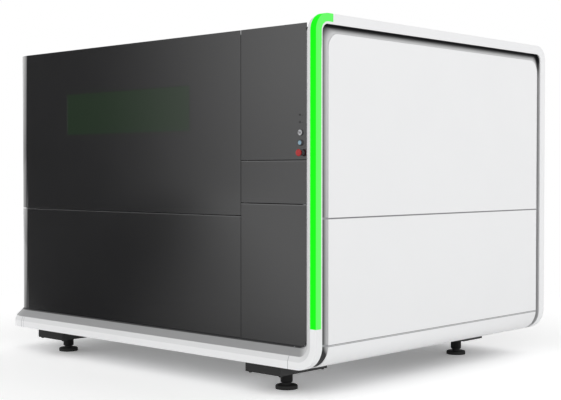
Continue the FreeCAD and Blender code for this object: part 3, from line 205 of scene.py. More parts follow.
def grain(surface, size, detail=2.0):
    """Noise whose grains have a real size, in metres."""
    place = surface.node("TexCoord", output="Object")
    return surface.node("TexNoise", {"noise_dimensions": "3D"},
                        {"Vector": place, "Scale": 1.0 / size, "Detail": detail,
                         "Roughness": 0.5}, "Fac")


def along(surface, axis):
    """The place of a point along one axis, in metres."""
    place = surface.node("TexCoord", output="Object")
    return surface.node("SeparateXYZ", inputs={0: place}, output=axis)


def pressed(surface, height, depth):
    """A normal from a height map whose full scale is a depth in metres."""
    return surface.node("Bump", inputs={"Strength": 1.0, "Distance": depth,
                                        "Height": height}, output="Normal")


def new_surface(name):
    """An empty material."""
    finish = bpy.data.materials.new(name)
    finish.use_nodes = True
    finish.node_tree.nodes.clear()
    return finish, Socket(finish.node_tree)


def shaded(surface, **inputs):
    """The surface's shader, from the main shader's own socket names."""
    named = {name.replace("_", " "): value for name, value in inputs.items()}
    shader = surface.node("BsdfPrincipled", inputs=named)
    surface.node("OutputMaterial", inputs={"Surface": shader})


def colour(red, green, blue):
    """A colour with full cover."""
    return (red, green, blue, 1.0)


def seam_line(surface, axis, place, width):
    """1 on a thin joint across an axis, and 0 elsewhere."""
    where = along(surface, axis)
    apart = surface.node("Math", {"operation": "ABSOLUTE"}, {0: where - place})
    return faded(apart, width * 0.4, width * 0.6, 1.0, 0.0)


def white_coat(name, joints, painted_shade=None):
    """White powder coat with slight mottling, orange peel and dark hairline joints.

    A joint is an axis, a place along it and a width. Where shade is painted into the coat, a
    function gives its tint at each point."""
    finish, surface = new_surface(name)
    mottle = grain(surface, 0.35)
    peel = grain(surface, 0.0022, 1.0)
    tone = blended(colour(0.825, 0.828, 0.836), colour(0.850, 0.852, 0.858), mottle)
    # Painted shade, where a function for it is given.
    if painted_shade:
        tone = painted_shade(surface, tone)
    height = peel * 0.10
    for axis, place, width in joints:
        line = seam_line(surface, axis, place, width)
        tone = blended(tone, colour(0.30, 0.30, 0.31), line)
        height = height - line
    shaded(surface, Base_Color=tone, Roughness=0.34 + mottle * 0.10,
           Normal=pressed(surface, height, 0.0004))
    return finish


def dress(finish, *names):
    """Gives CAD nodes one material."""
    for name in names:
        mesh = nodes[name].data
        mesh.materials.clear()
        mesh.materials.append(finish)


sill_low, sill_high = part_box("front_sill")
hoop_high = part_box("side_hoop")[1]
skin_low, skin_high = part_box("side_skin")
outer_radius = 0.140
chamfer_depth = 0.042
slope_depth = 0.072
ledge_depth = 0.112
lip_width = 0.060


def profile_depth(surface):
    """How far a point lies inwards from the frame's outer face, across its profile, and how
    far it is on the sills' side of the bend, which is less than 0 on the hoop's posts."""
    inward = hoop_high.x - along(surface, "X")
    upward = along(surface, "Z") - sill_low.z
    rest_x = outer_radius - inward
    rest_z = outer_radius - upward
    short_x = rest_x.math("MAXIMUM", rest_x, 0.0)
    short_z = rest_z.math("MAXIMUM", rest_z, 0.0)
    reach = short_x * short_x + short_z * short_z
    depth = outer_radius - reach.node("Math", {"operation": "SQRT"}, {0: reach})
    return depth, inward - upward


def shaded_profile(surface, tone):
    """Painted shade: the sills' chamfer, slope and ledge are painted darker and darker, and so
    is the lip that turns in round the side, most of all under the top rail."""
    depth, past_bend = profile_depth(surface)
    level = faded(past_bend, -0.010, 0.060)
    chamfer = faded(depth, chamfer_depth, chamfer_depth + 0.002) * 0.13
    slope = faded(depth, slope_depth, slope_depth + 0.002) * 0.50
    ledge = faded(depth, ledge_depth, ledge_depth + 0.004) * 0.50
    # Painted shade on the posts' faces past their chamfer.
    upright = faded(depth, chamfer_depth, chamfer_depth + 0.002) * (1.0 - level) * 0.20
    lip_end = hoop_high.x - lip_width
    lip = (faded(along(surface, "X"), hoop_high.x - 0.003, hoop_high.x - 0.012)
           * faded(along(surface, "X"), lip_end, lip_end + 0.010)
           * faded(along(surface, "Y"), skin_low.y + 0.0095, skin_low.y + 0.0115)
           * faded(along(surface, "Y"), skin_high.y - 0.0100, skin_high.y - 0.0115)
           * faded(along(surface, "Z"), skin_high.z - 0.0090, skin_high.z - 0.0110)
           * faded(along(surface, "Z"), 1.880, 2.020, 0.36, 1.0))
    # The painted shade's colour, blended in by the masks above.
    return blended(tone, colour(0.012, 0.012, 0.014),
                   (chamfer + slope + ledge) * level + upright + lip)


# Both frame coats carry the painted shade of the sills' profile and the side lip.
plain_white = white_coat("white_powder_coat", (), shaded_profile)
jointed_white = white_coat("white_frame_coat", [("X", sill_low.x, 0.003),
                                                ("X", sill_low.x + 0.022, 0.002),
                                                ("X", sill_high.x, 0.003)], shaded_profile)
dress(plain_white, "left_plinth")
dress(jointed_white, "front_sill", "corner_sill", "side_hoop")

# ---- Light bar -------------------------------------------------------------------------------
# A green acrylic diffuser in the hoop's front edge, lit from behind by a strip of diodes on
# an aluminium channel. It snaps into the channel.


def glowing_lens():
    """Even green light from the diodes behind it. The face that turns to the right has a
    painted highlight: paler, most of all behind its front edge and below its top."""
    finish, surface = new_surface("green_diffuser")
    lens_low, lens_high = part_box("light_bar_lens")
    # Painted highlight: the right-hand face glows paler than the front.
    turned = faded(along(surface, "X"), lens_high.x - 0.0025, lens_high.x - 0.0002)
    cloud = grain(surface, 0.08)
    behind_edge = faded(along(surface, "Y"), lens_low.y + 0.0395, lens_low.y + 0.0430)
    below_top = faded(along(surface, "Z"), lens_high.z - 0.165, lens_high.z - 0.215)
    side = blended(colour(0.15, 1.0, 0.15), colour(0.66, 1.0, 0.66), behind_edge * below_top)
    tone = blended(colour(0.004, 1.0, 0.004), side, turned)
    shaded(surface, Base_Color=colour(0.004, 0.05, 0.004), Roughness=0.45 + cloud * 0.1,
           Emission_Color=tone, Emission_Strength=0.92, Specular_IOR_Level=0.05,
           Normal=pressed(surface, grain(surface, 0.003), 0.00005))
    return finish


def bare_metal(name, tone, roughness, stroke, scratch=0.00003):
    """Bare metal with a drawn or brushed grain: stroke is the grain's size along X, Y and Z."""
    finish, surface = new_surface(name)
    place = surface.node("TexCoord", output="Object")
    scale = [1.0 / size for size in stroke]
    stretched = surface.node("Mapping", inputs={"Vector": place, "Scale": scale})
    brush = surface.node("TexNoise", inputs={"Vector": stretched, "Scale": 1.0,
                                             "Detail": 3.0}, output="Fac")
    smear = grain(surface, 0.12, 3.0)
    darker = colour(*[part * 0.80 for part in tone])
    shaded(surface, Base_Color=blended(darker, colour(*tone), smear), Metallic=1.0,
           Roughness=roughness + brush * 0.12 + smear * 0.06,
           Normal=pressed(surface, brush, scratch))
    return finish


aluminium = bare_metal("brushed_aluminium", (0.74, 0.75, 0.77), 0.26, (0.02, 0.0006, 0.02))
dress(glowing_lens(), "light_bar_lens")
dress(aluminium, "light_bar_channel")


def lit_diodes():
    """White board with a bright diode every 16 mm."""
    finish, surface = new_surface("diode_strip")
    pitch = 0.016
    turn = along(surface, "Z") * (2 * math.pi / pitch)
    wave = surface.node("Math", {"operation": "SINE"}, {0: turn})
    lamp = faded(wave, 0.2, 0.5)
    shaded(surface, Base_Color=colour(0.80, 0.82, 0.78), Roughness=0.5,
           Emission_Color=blended(colour(0.02, 0.3, 0.02), colour(0.3, 1.0, 0.3), lamp),
           Emission_Strength=0.8)
    return finish


dress(lit_diodes(), "light_bar_leds")

# ---- Right side ------------------------------------------------------------------------------
# A pressed steel skin with a sloping rim, and three formed aluminium panels glued and clipped
# on its raised middle, all in the same white coat.

upper_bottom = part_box("side_panel_upper")[0].z
belly_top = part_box("belly_panel")[1].z


def shaded_recess(surface, tone):
    """Painted shade: the sloping rim is painted from a light shade at the raised middle to
    black under the frame, and its front run is painted darker towards the bottom."""
    rim_depth = 0.018
    rim = faded(along(surface, "X"), skin_high.x, skin_high.x - rim_depth, 0.26, 1.0)
    front = (faded(along(surface, "Y"), skin_low.y + 0.102, skin_low.y + 0.082)
             * faded(along(surface, "Z"), 1.900, 0.500))
    # The painted shade's colour, blended in by the rim and front masks.
    return blended(tone, colour(0.010, 0.010, 0.011), rim + front * 0.16)


# Painted shade in the panel gaps: the skin is painted dark along the two seams.
recess_white = white_coat("white_recess_coat", [("Z", upper_bottom - 0.002, 0.012),
                                                ("Z", belly_top + 0.002, 0.012)],
                          shaded_recess)
dress(recess_white, "side_skin")
# Painted shade beside the gaps: the panels' edges by the seams are painted dark.
edged_white = white_coat("white_panel_coat", [("Z", upper_bottom - 0.003, 0.008),
                                              ("Z", belly_top - 0.004, 0.004)])
dress(edged_white, "side_panel_upper", "side_panel_lower", "belly_panel")

# ---- Feet ------------------------------------------------------------------------------------
# Cast rubber-soled levelling feet on black threaded stems, screwed up into welded steel
# blocks under the base frame and locked with a nut.


def black_coat():
    """Semi-matt black paint with a fine texture and a little dust."""
    finish, surface = new_surface("black_paint")
    dust = grain(surface, 0.05, 4.0)
    peel = grain(surface, 0.0012)
    clean = colour(0.0120, 0.0120, 0.0126)
    dusty = colour(0.0180, 0.0180, 0.0180)
    shaded(surface, Base_Color=blended(clean, dusty, dust), Roughness=0.45 + dust * 0.12,
           Normal=pressed(surface, peel, 0.00008))
    return finish


def soft_rubber():
    """Matt black rubber with a dusty bloom."""
    finish, surface = new_surface("black_rubber")
    bloom = grain(surface, 0.03, 4.0)
    clean = colour(0.0110, 0.0110, 0.0110)
    dusty = colour(0.0242, 0.0242, 0.0231)
    shaded(surface, Base_Color=blended(clean, dusty, bloom), Roughness=0.72 + bloom * 0.15,
           Normal=pressed(surface, grain(surface, 0.001), 0.0001))
    return finish


def stacked(shape, sides, rings, place, axis="Z", open_ends=False):
    """A stack of rings, each a radius and a height, from a place along an axis.

    Its two end faces are left off where the ends stay open."""
    (first, low), (second, high) = rings[:2]
    made = bmesh.ops.create_cone(shape, cap_ends=True, segments=sides, radius1=first,
                                 radius2=second, depth=high - low,
                                 matrix=Matrix.Translation((0.0, 0.0, (low + high) / 2)))
    corners = list(made["verts"])
    caps = sorted({face for vert in corners for face in vert.link_faces},
                  key=lambda face: face.calc_center_median().z)
    bottom, top = caps[0], caps[-1]
    radius, level = second, high
    for wide, height in rings[2:]:
        top = bmesh.ops.extrude_discrete_faces(shape, faces=[top])["faces"][0]
        share = wide / radius
        bmesh.ops.scale(shape, vec=(share, share, 1.0), verts=list(top.verts))
        bmesh.ops.translate(shape, vec=(0.0, 0.0, height - level), verts=list(top.verts))
        radius, level = wide, height
        corners += list(top.verts)
    quarter = math.pi / 2
    turns = {"Z": (0.0, "X"), "-Z": (math.pi, "X"), "Y": (-quarter, "X"),
             "-Y": (quarter, "X"), "X": (quarter, "Y"), "-X": (-quarter, "Y")}
    angle, about = turns[axis]
    bmesh.ops.transform(shape, verts=corners,
                        matrix=Matrix.Translation(place) @ Matrix.Rotation(angle, 4, about))
    if open_ends:
        bmesh.ops.delete(shape, geom=[bottom, top], context="FACES_ONLY")


def new_piece(name, shape, finish, body):
    """Makes an object of a shape, with soft curves and sharp edges, that rides on a body."""
    bmesh.ops.recalc_face_normals(shape, faces=shape.faces)
    for face in shape.faces:
        face.smooth = True
    mesh = bpy.data.meshes.new(name)
    shape.to_mesh(mesh)
    shape.free()
    mesh.set_sharp_from_angle(angle=math.radians(32))
    mesh.materials.append(finish)
    piece = bpy.data.objects.new(name, mesh)
    bpy.context.scene.collection.objects.link(piece)
    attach(piece, body)


black = black_coat()
rubber = soft_rubber()
dress(rubber, "foot_pads")
dress(black, "foot_plates", "foot_stems")

stem_low, stem_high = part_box("foot_stems")
plate_low, plate_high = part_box("foot_plates")
stem_radius = 0.035
stem_places = [(x, y) for x in (stem_low.x + stem_radius, stem_high.x - stem_radius)
               for y in (stem_low.y + stem_radius, stem_high.y - stem_radius)]
nut = [(0.0385, 0.0), (0.0415, 0.003), (0.0415, 0.019), (0.0385, 0.022)]
washer = [(0.043, 0.0), (0.044, 0.001), (0.044, 0.002)]
washer_z = stem_high.z - 0.002
nut_z = washer_z - 0.022
thread_turns = 12
thread_pitch = 0.004
thread_root = stem_radius + 0.0002
thread_crest = stem_radius + 0.0014
nuts = bmesh.new()
threads = bmesh.new()
for x, y in stem_places:
    stacked(nuts, 6, nut, (x, y, nut_z))
    stacked(nuts, 32, washer, (x, y, washer_z))
    ridges = [(thread_root, 0.0)]
    for turn in range(thread_turns):
        ridges += [(thread_crest, (turn + 0.5) * thread_pitch),
                   (thread_root, (turn + 1) * thread_pitch)]
    stacked(threads, 32, ridges, (x, y, stem_low.z + 0.016))
new_piece("foot_lock_nuts", nuts, black, "cabinet")
new_piece("foot_threads", threads, black, "cabinet")

plate_width = 0.275
plate_length = 0.400
bolt_inset = 0.020
bolt_head = [(0.0095, 0.0), (0.0105, 0.001), (0.0105, 0.0065), (0.0090, 0.0080)]
bolts = bmesh.new()
for left in (plate_low.x, plate_high.x - plate_width):
    for y in (plate_low.y + bolt_inset, plate_low.y + plate_length - bolt_inset):
        for x in (left + bolt_inset, left + plate_width - bolt_inset):
            stacked(bolts, 6, bolt_head, (x, y, plate_low.z), "-Z")
new_piece("foot_plate_bolts", bolts, black, "cabinet")

# ---- Frames ----------------------------------------------------------------------------------
# Square steel tube, welded and painted grey: the base frame on the feet, and the cabinet
# frame of posts, girts and headers that carries every cover.


def grey_coat(name, tone=0.30):
    """Semi-gloss grey paint, a little uneven, with shop dust."""
    finish, surface = new_surface(name)
    dust = grain(surface, 0.25, 4.0)
    peel = grain(surface, 0.0018)
    shaded(surface, Base_Color=blended(colour(tone * 0.92, tone * 0.94, tone * 0.98),
                                       colour(tone * 1.08, tone * 1.09, tone * 1.12), dust),
           Roughness=0.42 + dust * 0.14, Normal=pressed(surface, peel, 0.00012))
    return finish


grey = grey_coat("grey_paint")
dress(grey, "base_frame", "cabinet_frame", "partition_panel")

# ---- Left, rear and roof covers --------------------------------------------------------------
# Folded steel covers screwed to the frame, painted the same charcoal as the front. The rear
# ones have pressed louvres, and a galvanised exhaust collar and cable glands go through them.


def charcoal_gloss(name, edge=None):
    """Glossy charcoal paint under a clear lacquer, with soft orange peel.

    A painted highlight runs along the folded top edge, at a height."""
    finish, surface = new_surface(name)
    mottle = grain(surface, 0.30)
    peel = grain(surface, 0.0040, 1.0)
    low = colour(0.0115, 0.0115, 0.0122)
    high = colour(0.0135, 0.0135, 0.0142)
    tone = blended(low, high, mottle)
    # Painted highlight along the top edge.
    if edge:
        tone = blended(tone, colour(0.060, 0.060, 0.062),
                       faded(along(surface, "Z"), edge - 0.0065, edge - 0.0045))
    shaded(surface, Base_Color=tone, Roughness=0.15 + mottle * 0.03,
           IOR=1.55, Coat_Weight=1.0, Coat_Roughness=0.10, Coat_IOR=1.62,
           Normal=pressed(surface, peel, 0.00003))
    return finish


charcoal = charcoal_gloss("charcoal_lacquer")
dress(charcoal, "left_panel_lower", "left_panel_upper", "rear_panels", "roof_panel")
dress(bare_metal("galvanised_steel", (0.55, 0.56, 0.57), 0.34, (0.03, 0.03, 0.03)),
      "exhaust_collar")


def block(shape, low, high, rounding=0.0, steps=2):
    """A box between two corners, whose edges may be rounded. The corners of a sharp one are
    returned, to be moved."""
    size = [far - near for near, far in zip(low, high)]
    middle = [(near + far) / 2 for near, far in zip(low, high)]
    made = bmesh.ops.create_cube(shape, size=1.0, matrix=Matrix.Translation(middle)
                                 @ Matrix.Diagonal((*size, 1.0)))
    if rounding:
        edges = {edge for vert in made["verts"] for edge in vert.link_edges}
        bmesh.ops.bevel(shape, geom=list(edges), offset=rounding, offset_type="OFFSET",
                        segments=steps, profile=0.5, affect="EDGES", material=-1)
    return made["verts"]


def screw_head(shape, place, axis, radius=0.006):
    """A button-head screw with its socket."""
    stacked(shape, 8, [(radius, 0.0), (radius * 0.94, radius * 0.26),
                       (radius * 0.70, radius * 0.50), (radius * 0.45, radius * 0.54),
                       (radius * 0.42, radius * 0.20)], place, axis)


def spread(start, end, count):
    """Evenly spaced places from a start to an end."""
    return [start + (end - start) * number / (count - 1) for number in range(count)]


left_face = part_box("left_panel_upper")[0].x
seam_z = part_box("left_panel_lower")[1].z
cover_low, cover_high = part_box("rear_panels")
seam = 0.004
screw_inset = 0.014
left_reach = 0.92
levels = (cover_low.z + screw_inset, seam_z - screw_inset,
          seam_z + seam + screw_inset, cover_high.z - screw_inset)
cover_screws = bmesh.new()
for z in levels:
    for y in spread(-left_reach, left_reach, 6):
        screw_head(cover_screws, (left_face, y, z), "-X")
pan_count = 3
pan_pitch = (cover_high.x - cover_low.x + seam) / pan_count
pan_width = pan_pitch - seam
gland_corner = cover_high.x - 0.2
for pan in range(pan_count):
    start = cover_low.x + pan * pan_pitch + screw_inset
    for x in spread(start, start + pan_width - 2 * screw_inset, 4):
        for z in levels:
            if z > levels[0] or x < gland_corner:
                screw_head(cover_screws, (x, cover_high.y, z), "Y")
roof_low, roof_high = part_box("roof_panel")
roof_left = -1.15
for y in (roof_low.y + 0.03, roof_high.y - 0.03):
    for x in spread(roof_left, roof_high.x - 0.05, 7):
        screw_head(cover_screws, (x, y, roof_high.z), "Z")
steel_screws = bare_metal("zinc_screws", (0.46, 0.47, 0.48), 0.30, (0.004, 0.004, 0.004))
new_piece("cover_screws", cover_screws, steel_screws, "cabinet")

louvre_rows = 8
louvre_pitch = 0.026
louvre_reach = 0.068
hood_depth = 0.008
hoods = bmesh.new()
for pan in range(pan_count):
    middle = cover_low.x + pan * pan_pitch + pan_width / 2
    for foot in (cover_low.z, seam_z + seam):
        for side in (-1, 1):
            x = middle + side * pan_pitch / 4
            for row in range(louvre_rows):
                z = foot + 0.120 + row * louvre_pitch
                corners = block(hoods, (x - louvre_reach, cover_high.y, z + 0.004),
                                (x + louvre_reach, cover_high.y + hood_depth, z + 0.015))
                outer_top = [vert for vert in corners
                             if vert.co.y > cover_high.y + hood_depth / 2
                             and vert.co.z > z + 0.010]
                bmesh.ops.translate(hoods, vec=(0.0, 0.0005 - hood_depth, 0.0),
                                    verts=outer_top)
new_piece("louvre_hoods", hoods, charcoal, "cabinet")

collar_low, collar_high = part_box("exhaust_collar")
collar_x = (collar_low.x + collar_high.x) / 2
collar_z = (collar_low.z + collar_high.z) / 2
flange_face = collar_low.y + 0.003
screw_circle = 0.1375
bead = bmesh.new()
stacked(bead, 64, [(0.1252, 0.0), (0.1278, 0.0015), (0.1288, 0.0045), (0.1278, 0.0075),
                   (0.1252, 0.0090)], (collar_x, collar_high.y - 0.018, collar_z), "Y", True)
for turn in range(8):
    angle = math.radians(45 * turn + 22.5)
    screw_head(bead, (collar_x + screw_circle * math.cos(angle), flange_face,
                      collar_z + screw_circle * math.sin(angle)), "Y", 0.005)
new_piece("collar_bead", bead, steel_screws, "cabinet")


def moulded_plastic(name, tone, roughness=0.42):
    """Moulded plastic with a fine spark-eroded grain."""
    finish, surface = new_surface(name)
    cloud = grain(surface, 0.04, 3.0)
    low = colour(*[part * 0.88 for part in tone])
    shaded(surface, Base_Color=blended(low, colour(*tone), cloud),
           Roughness=roughness + cloud * 0.1,
           Normal=pressed(surface, grain(surface, 0.0006), 0.00005))
    return finish


black_plastic = moulded_plastic("black_plastic", (0.022, 0.022, 0.024))
dress(black_plastic, "cable_glands")

gland_low, gland_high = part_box("cable_glands")
gland_radius = 0.022
gland_z = (gland_low.z + gland_high.z) / 2
dome_nuts = bmesh.new()
for x in spread(gland_low.x + gland_radius, gland_high.x - gland_radius, 3):
    seat = (x, gland_high.y, gland_z)
    stacked(dome_nuts, 6, [(0.0205, -0.022), (0.0225, -0.020), (0.0225, -0.010),
                           (0.0205, -0.008)], seat, "Y", True)
    stacked(dome_nuts, 24, [(0.0118, -0.010), (0.0118, -0.002), (0.0095, 0.0005),
                            (0.0040, 0.0015)], seat, "Y")
new_piece("gland_dome_nuts", dome_nuts, black_plastic, "cabinet")

# ---- Front door ------------------------------------------------------------------------------
# One charcoal sheet that wraps the machine's front left corner, stiffened by a frame of
# tubes. Three hinges along the top carry it, and two gas springs hold it open.

dress(charcoal, "door_skin")
dress(black, "door_frame")
steel = bare_metal("ground_steel", (0.56, 0.57, 0.58), 0.24, (0.03, 0.0008, 0.03))
dress(steel, "door_hinge_leaves", "hinge_pins")
dress(grey, "header_brackets")


def tinted_window():
    """Dark green laser-safe acrylic, flush with the door and as glossy."""
    finish, surface = new_surface("laser_window")
    cloud = grain(surface, 0.5)
    low = colour(0.0120, 0.0250, 0.0120)
    high = colour(0.0140, 0.0285, 0.0140)
    shaded(surface, Base_Color=blended(low, high, cloud), Roughness=0.15,
           Coat_Weight=1.0, Coat_Roughness=0.10,
           Normal=pressed(surface, grain(surface, 0.05), 0.00002))
    return finish


dress(tinted_window(), "door_window")

pane_low, pane_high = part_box("door_window")
band = 0.018
band_bottom = pane_low.z + band
band_top = pane_high.z - band
clamp_back = pane_high.y + 0.003
clamp = bmesh.new()
for low, high in (((pane_low.x, pane_low.z), (pane_high.x, band_bottom)),
                  ((pane_low.x, band_top), (pane_high.x, pane_high.z)),
                  ((pane_low.x, band_bottom), (pane_low.x + band, band_top)),
                  ((pane_high.x - band, band_bottom), (pane_high.x, band_top))):
    block(clamp, (low[0], pane_high.y, low[1]), (high[0], clamp_back, high[1]), 0.0008, 1)
for z in (pane_low.z + band / 2, pane_high.z - band / 2):
    for x in spread(pane_low.x + 0.03, pane_high.x - 0.03, 9):
        screw_head(clamp, (x, clamp_back, z), "Y", 0.004)
new_piece("window_clamp", clamp, black, "door")
dress(black, "strut_cylinders")
chrome = bare_metal("chrome_plate", (0.80, 0.80, 0.82), 0.08, (0.02, 0.02, 0.02), 0.000005)
dress(chrome, "strut_rods")

# ---- Bed, gantry and cutting head ------------------------------------------------------------
# A welded and machined bed with ground rails, a painted gantry beam that runs along them,
# and a turned aluminium cutting head with a copper nozzle.

dress(grey, "bed_frame", "gantry_beam", "carriage")
dress(steel, "x_rails", "y_blocks")
dress(black, "head_plate")
dress(aluminium, "cutting_head")

rail_low, rail_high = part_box("y_rails")
rail_inset = 0.010


def drilled_rail():
    """Ground rail steel with a capped bolt hole every 60 mm along its top."""
    finish, surface = new_surface("rail_steel")
    hole_pitch = 0.060
    wave = surface.node("Math", {"operation": "SINE"},
                        {0: along(surface, "Y") * (2 * math.pi / hole_pitch)})
    from_middle = surface.node("Math", {"operation": "ABSOLUTE"},
                               {0: along(surface, "X") - (rail_low.x + rail_high.x) / 2})
    rail_place = (rail_high.x - rail_low.x) / 2 - rail_inset
    beside = surface.node("Math", {"operation": "ABSOLUTE"}, {0: from_middle - rail_place})
    cap = faded(wave, 0.90, 0.93) * faded(beside, 0.0055, 0.0045)
    smear = grain(surface, 0.10, 3.0)
    bright = blended(colour(0.42, 0.43, 0.44), colour(0.56, 0.57, 0.58), smear)
    shaded(surface, Base_Color=blended(bright, colour(0.05, 0.05, 0.05), cap),
           Metallic=1.0 - cap * 0.9, Roughness=0.22 + smear * 0.10 + cap * 0.30,
           Normal=pressed(surface, 1.0 - cap, 0.0003))
    return finish


dress(drilled_rail(), "y_rails")

block_low, block_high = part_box("y_blocks")
seal_thickness = 0.004
seal_reach = 0.028
nipple = [(0.0030, 0.0), (0.0030, 0.004), (0.0040, 0.005), (0.0040, 0.007),
          (0.0022, 0.009), (0.0026, 0.011)]
seals = bmesh.new()
nipples = bmesh.new()
for x in (rail_low.x + rail_inset, rail_high.x - rail_inset):
    for near, far, axis in ((block_low.y, block_low.y - seal_thickness, "-Y"),
                            (block_high.y, block_high.y + seal_thickness, "Y")):
        block(seals, (x - seal_reach, min(near, far), rail_high.z + 0.002),
              (x + seal_reach, max(near, far), block_high.z - 0.001), 0.001, 1)
        stacked(nipples, 12, nipple, (x, far, rail_high.z + 0.008), axis)
green_seal = moulded_plastic("green_end_seal", (0.03, 0.22, 0.12))
brass = bare_metal("brass", (0.78, 0.58, 0.26), 0.22, (0.01, 0.0006, 0.01))
new_piece("block_end_seals", seals, green_seal, "gantry")
new_piece("grease_nipples", nipples, brass, "gantry")

head_low, head_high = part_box("cutting_head")
head_axis = ((head_low.x + head_high.x) / 2, (head_low.y + head_high.y) / 2)
tip = bmesh.new()
stacked(tip, 32, [(0.0038, 0.0), (0.0046, 0.0012), (0.0156, 0.0245), (0.0160, 0.0260),
                  (0.0160, 0.0320)], (*head_axis, head_low.z - 0.0004))
copper = bare_metal("copper", (0.86, 0.45, 0.30), 0.20, (0.02, 0.02, 0.0006))
new_piece("nozzle_tip", tip, copper, "cutting_head")
rings = bmesh.new()
stacked(rings, 32, [(0.0156, 0.0), (0.0166, 0.001), (0.0166, 0.006), (0.0156, 0.007)],
        (*head_axis, head_low.z + 0.033))
new_piece("ceramic_ring", rings, moulded_plastic("white_ceramic", (0.82, 0.80, 0.76), 0.3),
          "cutting_head")
collars = bmesh.new()
for height in (0.190, 0.235, 0.290):
    stacked(collars, 64, [(0.0455, 0.0), (0.0463, 0.001), (0.0463, 0.005), (0.0455, 0.006)],
            (*head_axis, head_low.z + height))
stacked(collars, 32, [(0.0245, 0.0), (0.0255, 0.002), (0.0255, 0.020), (0.0245, 0.022)],
        (*head_axis, head_low.z + 0.360))
boot = bmesh.new()
stacked(boot, 32, [(0.0172, 0.0), (0.0200, 0.002), (0.0200, 0.030), (0.0160, 0.036),
                   (0.0165, 0.044), (0.0145, 0.048), (0.0150, 0.056), (0.0125, 0.060),
                   (0.0128, 0.068), (0.0090, 0.074)], (*head_axis, head_high.z - 0.020))
fittings = bmesh.new()
for height in (0.270, 0.315):
    seat = (head_axis[0] - 0.0450, head_axis[1], head_low.z + height)
    stacked(fittings, 6, [(0.0070, 0.0), (0.0078, 0.001), (0.0078, 0.007), (0.0070, 0.008)],
            seat, "-X")
    stacked(fittings, 16, [(0.0055, 0.008), (0.0055, 0.018), (0.0068, 0.019),
                           (0.0068, 0.022), (0.0034, 0.0225), (0.0032, 0.016)], seat, "-X")
new_piece("head_collars", collars, black_plastic, "cutting_head")
new_piece("fibre_boot", boot, rubber, "cutting_head")
new_piece("water_fittings", fittings, brass, "cutting_head")

# ---- Work light ------------------------------------------------------------------------------
# A switched-off batten at the rear header: an aluminium body that is screwed to the header
# tube, with a frosted plastic cover clipped on its front.

batten_low = (-0.700, 1.030, 1.958)
batten_high = (0.300, 1.062, 1.990)
frost_low = (-0.690, 1.022, 1.956)
frost_high = (0.290, 1.0305, 1.984)
batten = bmesh.new()
block(batten, batten_low, batten_high, 0.003)
new_piece("work_light_body", batten, aluminium, "cabinet")
cover = bmesh.new()
block(cover, frost_low, frost_high, 0.0035, 3)
frosted = moulded_plastic("frosted_cover", (0.72, 0.74, 0.75), 0.5)
new_piece("work_light_cover", cover, frosted, "cabinet")

# ---- Worktable -------------------------------------------------------------------------------
# A drawer behind the lower front: a steel frame on telescopic rails, toothed slats that carry
# the sheet, and a tray for the scrap.


def burnt_slats():
    """Raw laser-cut slats: grey mill scale, dark burns and spatter near the teeth."""
    finish, surface = new_surface("burnt_slats")
    teeth_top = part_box("table_slats")[1].z
    height = along(surface, "Z")
    scorch = faded(height + grain(surface, 0.03, 4.0) * 0.03,
                   teeth_top - 0.035, teeth_top + 0.008)
    scale = grain(surface, 0.02, 5.0)
    mill = blended(colour(0.16, 0.155, 0.15), colour(0.34, 0.335, 0.33), scale)
    tone = blended(mill, colour(0.045, 0.035, 0.03), scorch)
    shaded(surface, Base_Color=tone, Metallic=0.75 - scorch * 0.6,
           Roughness=0.45 + scorch * 0.35, Normal=pressed(surface, scale, 0.0003))
    return finish


# The table front gets a painted highlight along its top edge.
dress(charcoal_gloss("table_front_lacquer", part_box("table_front")[1].z), "table_front")
dress(grey, "table_frame")
dress(burnt_slats(), "table_slats")
dress(bare_metal("zinc_sheet", (0.50, 0.51, 0.52), 0.38, (0.02, 0.02, 0.02)),
      "scrap_tray", "drawer_rails")

# ---- Console column --------------------------------------------------------------------------
# A smoked glass front with the screen behind it, three panel buttons, a keyboard drawer and
# the lower door. The glass is glued to a black steel frame that stands in the column.


def smoked_glass():
    """Back-painted black glass, as glossy as the lacquered panels round it."""
    finish, surface = new_surface("smoked_glass")
    cloud = grain(surface, 0.4)
    low = colour(0.0105, 0.0105, 0.0112)
    high = colour(0.0125, 0.0125, 0.0132)
    shaded(surface, Base_Color=blended(low, high, cloud), Roughness=0.15, IOR=1.55,
           Coat_Weight=1.0, Coat_Roughness=0.10, Coat_IOR=1.62,
           Normal=pressed(surface, grain(surface, 0.08), 0.00002))
    return finish


dress(smoked_glass(), "console_panel")
# The drawer front and the lower door get a painted highlight along their top edges.
dress(charcoal_gloss("drawer_lacquer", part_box("keyboard_front")[1].z), "keyboard_front")
dress(charcoal_gloss("cabinet_door_lacquer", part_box("cabinet_door")[1].z), "cabinet_door")
dress(black, "console_frame", "keyboard_tray")
dress(black_plastic, "monitor", "keyboard", "contact_blocks", "estop_stem")
dress(steel, "cabinet_door_pivots")
dress(chrome, "button_bezels", "key_switch")
dress(moulded_plastic("red_plastic", (0.40, 0.016, 0.018), 0.22), "estop_head")

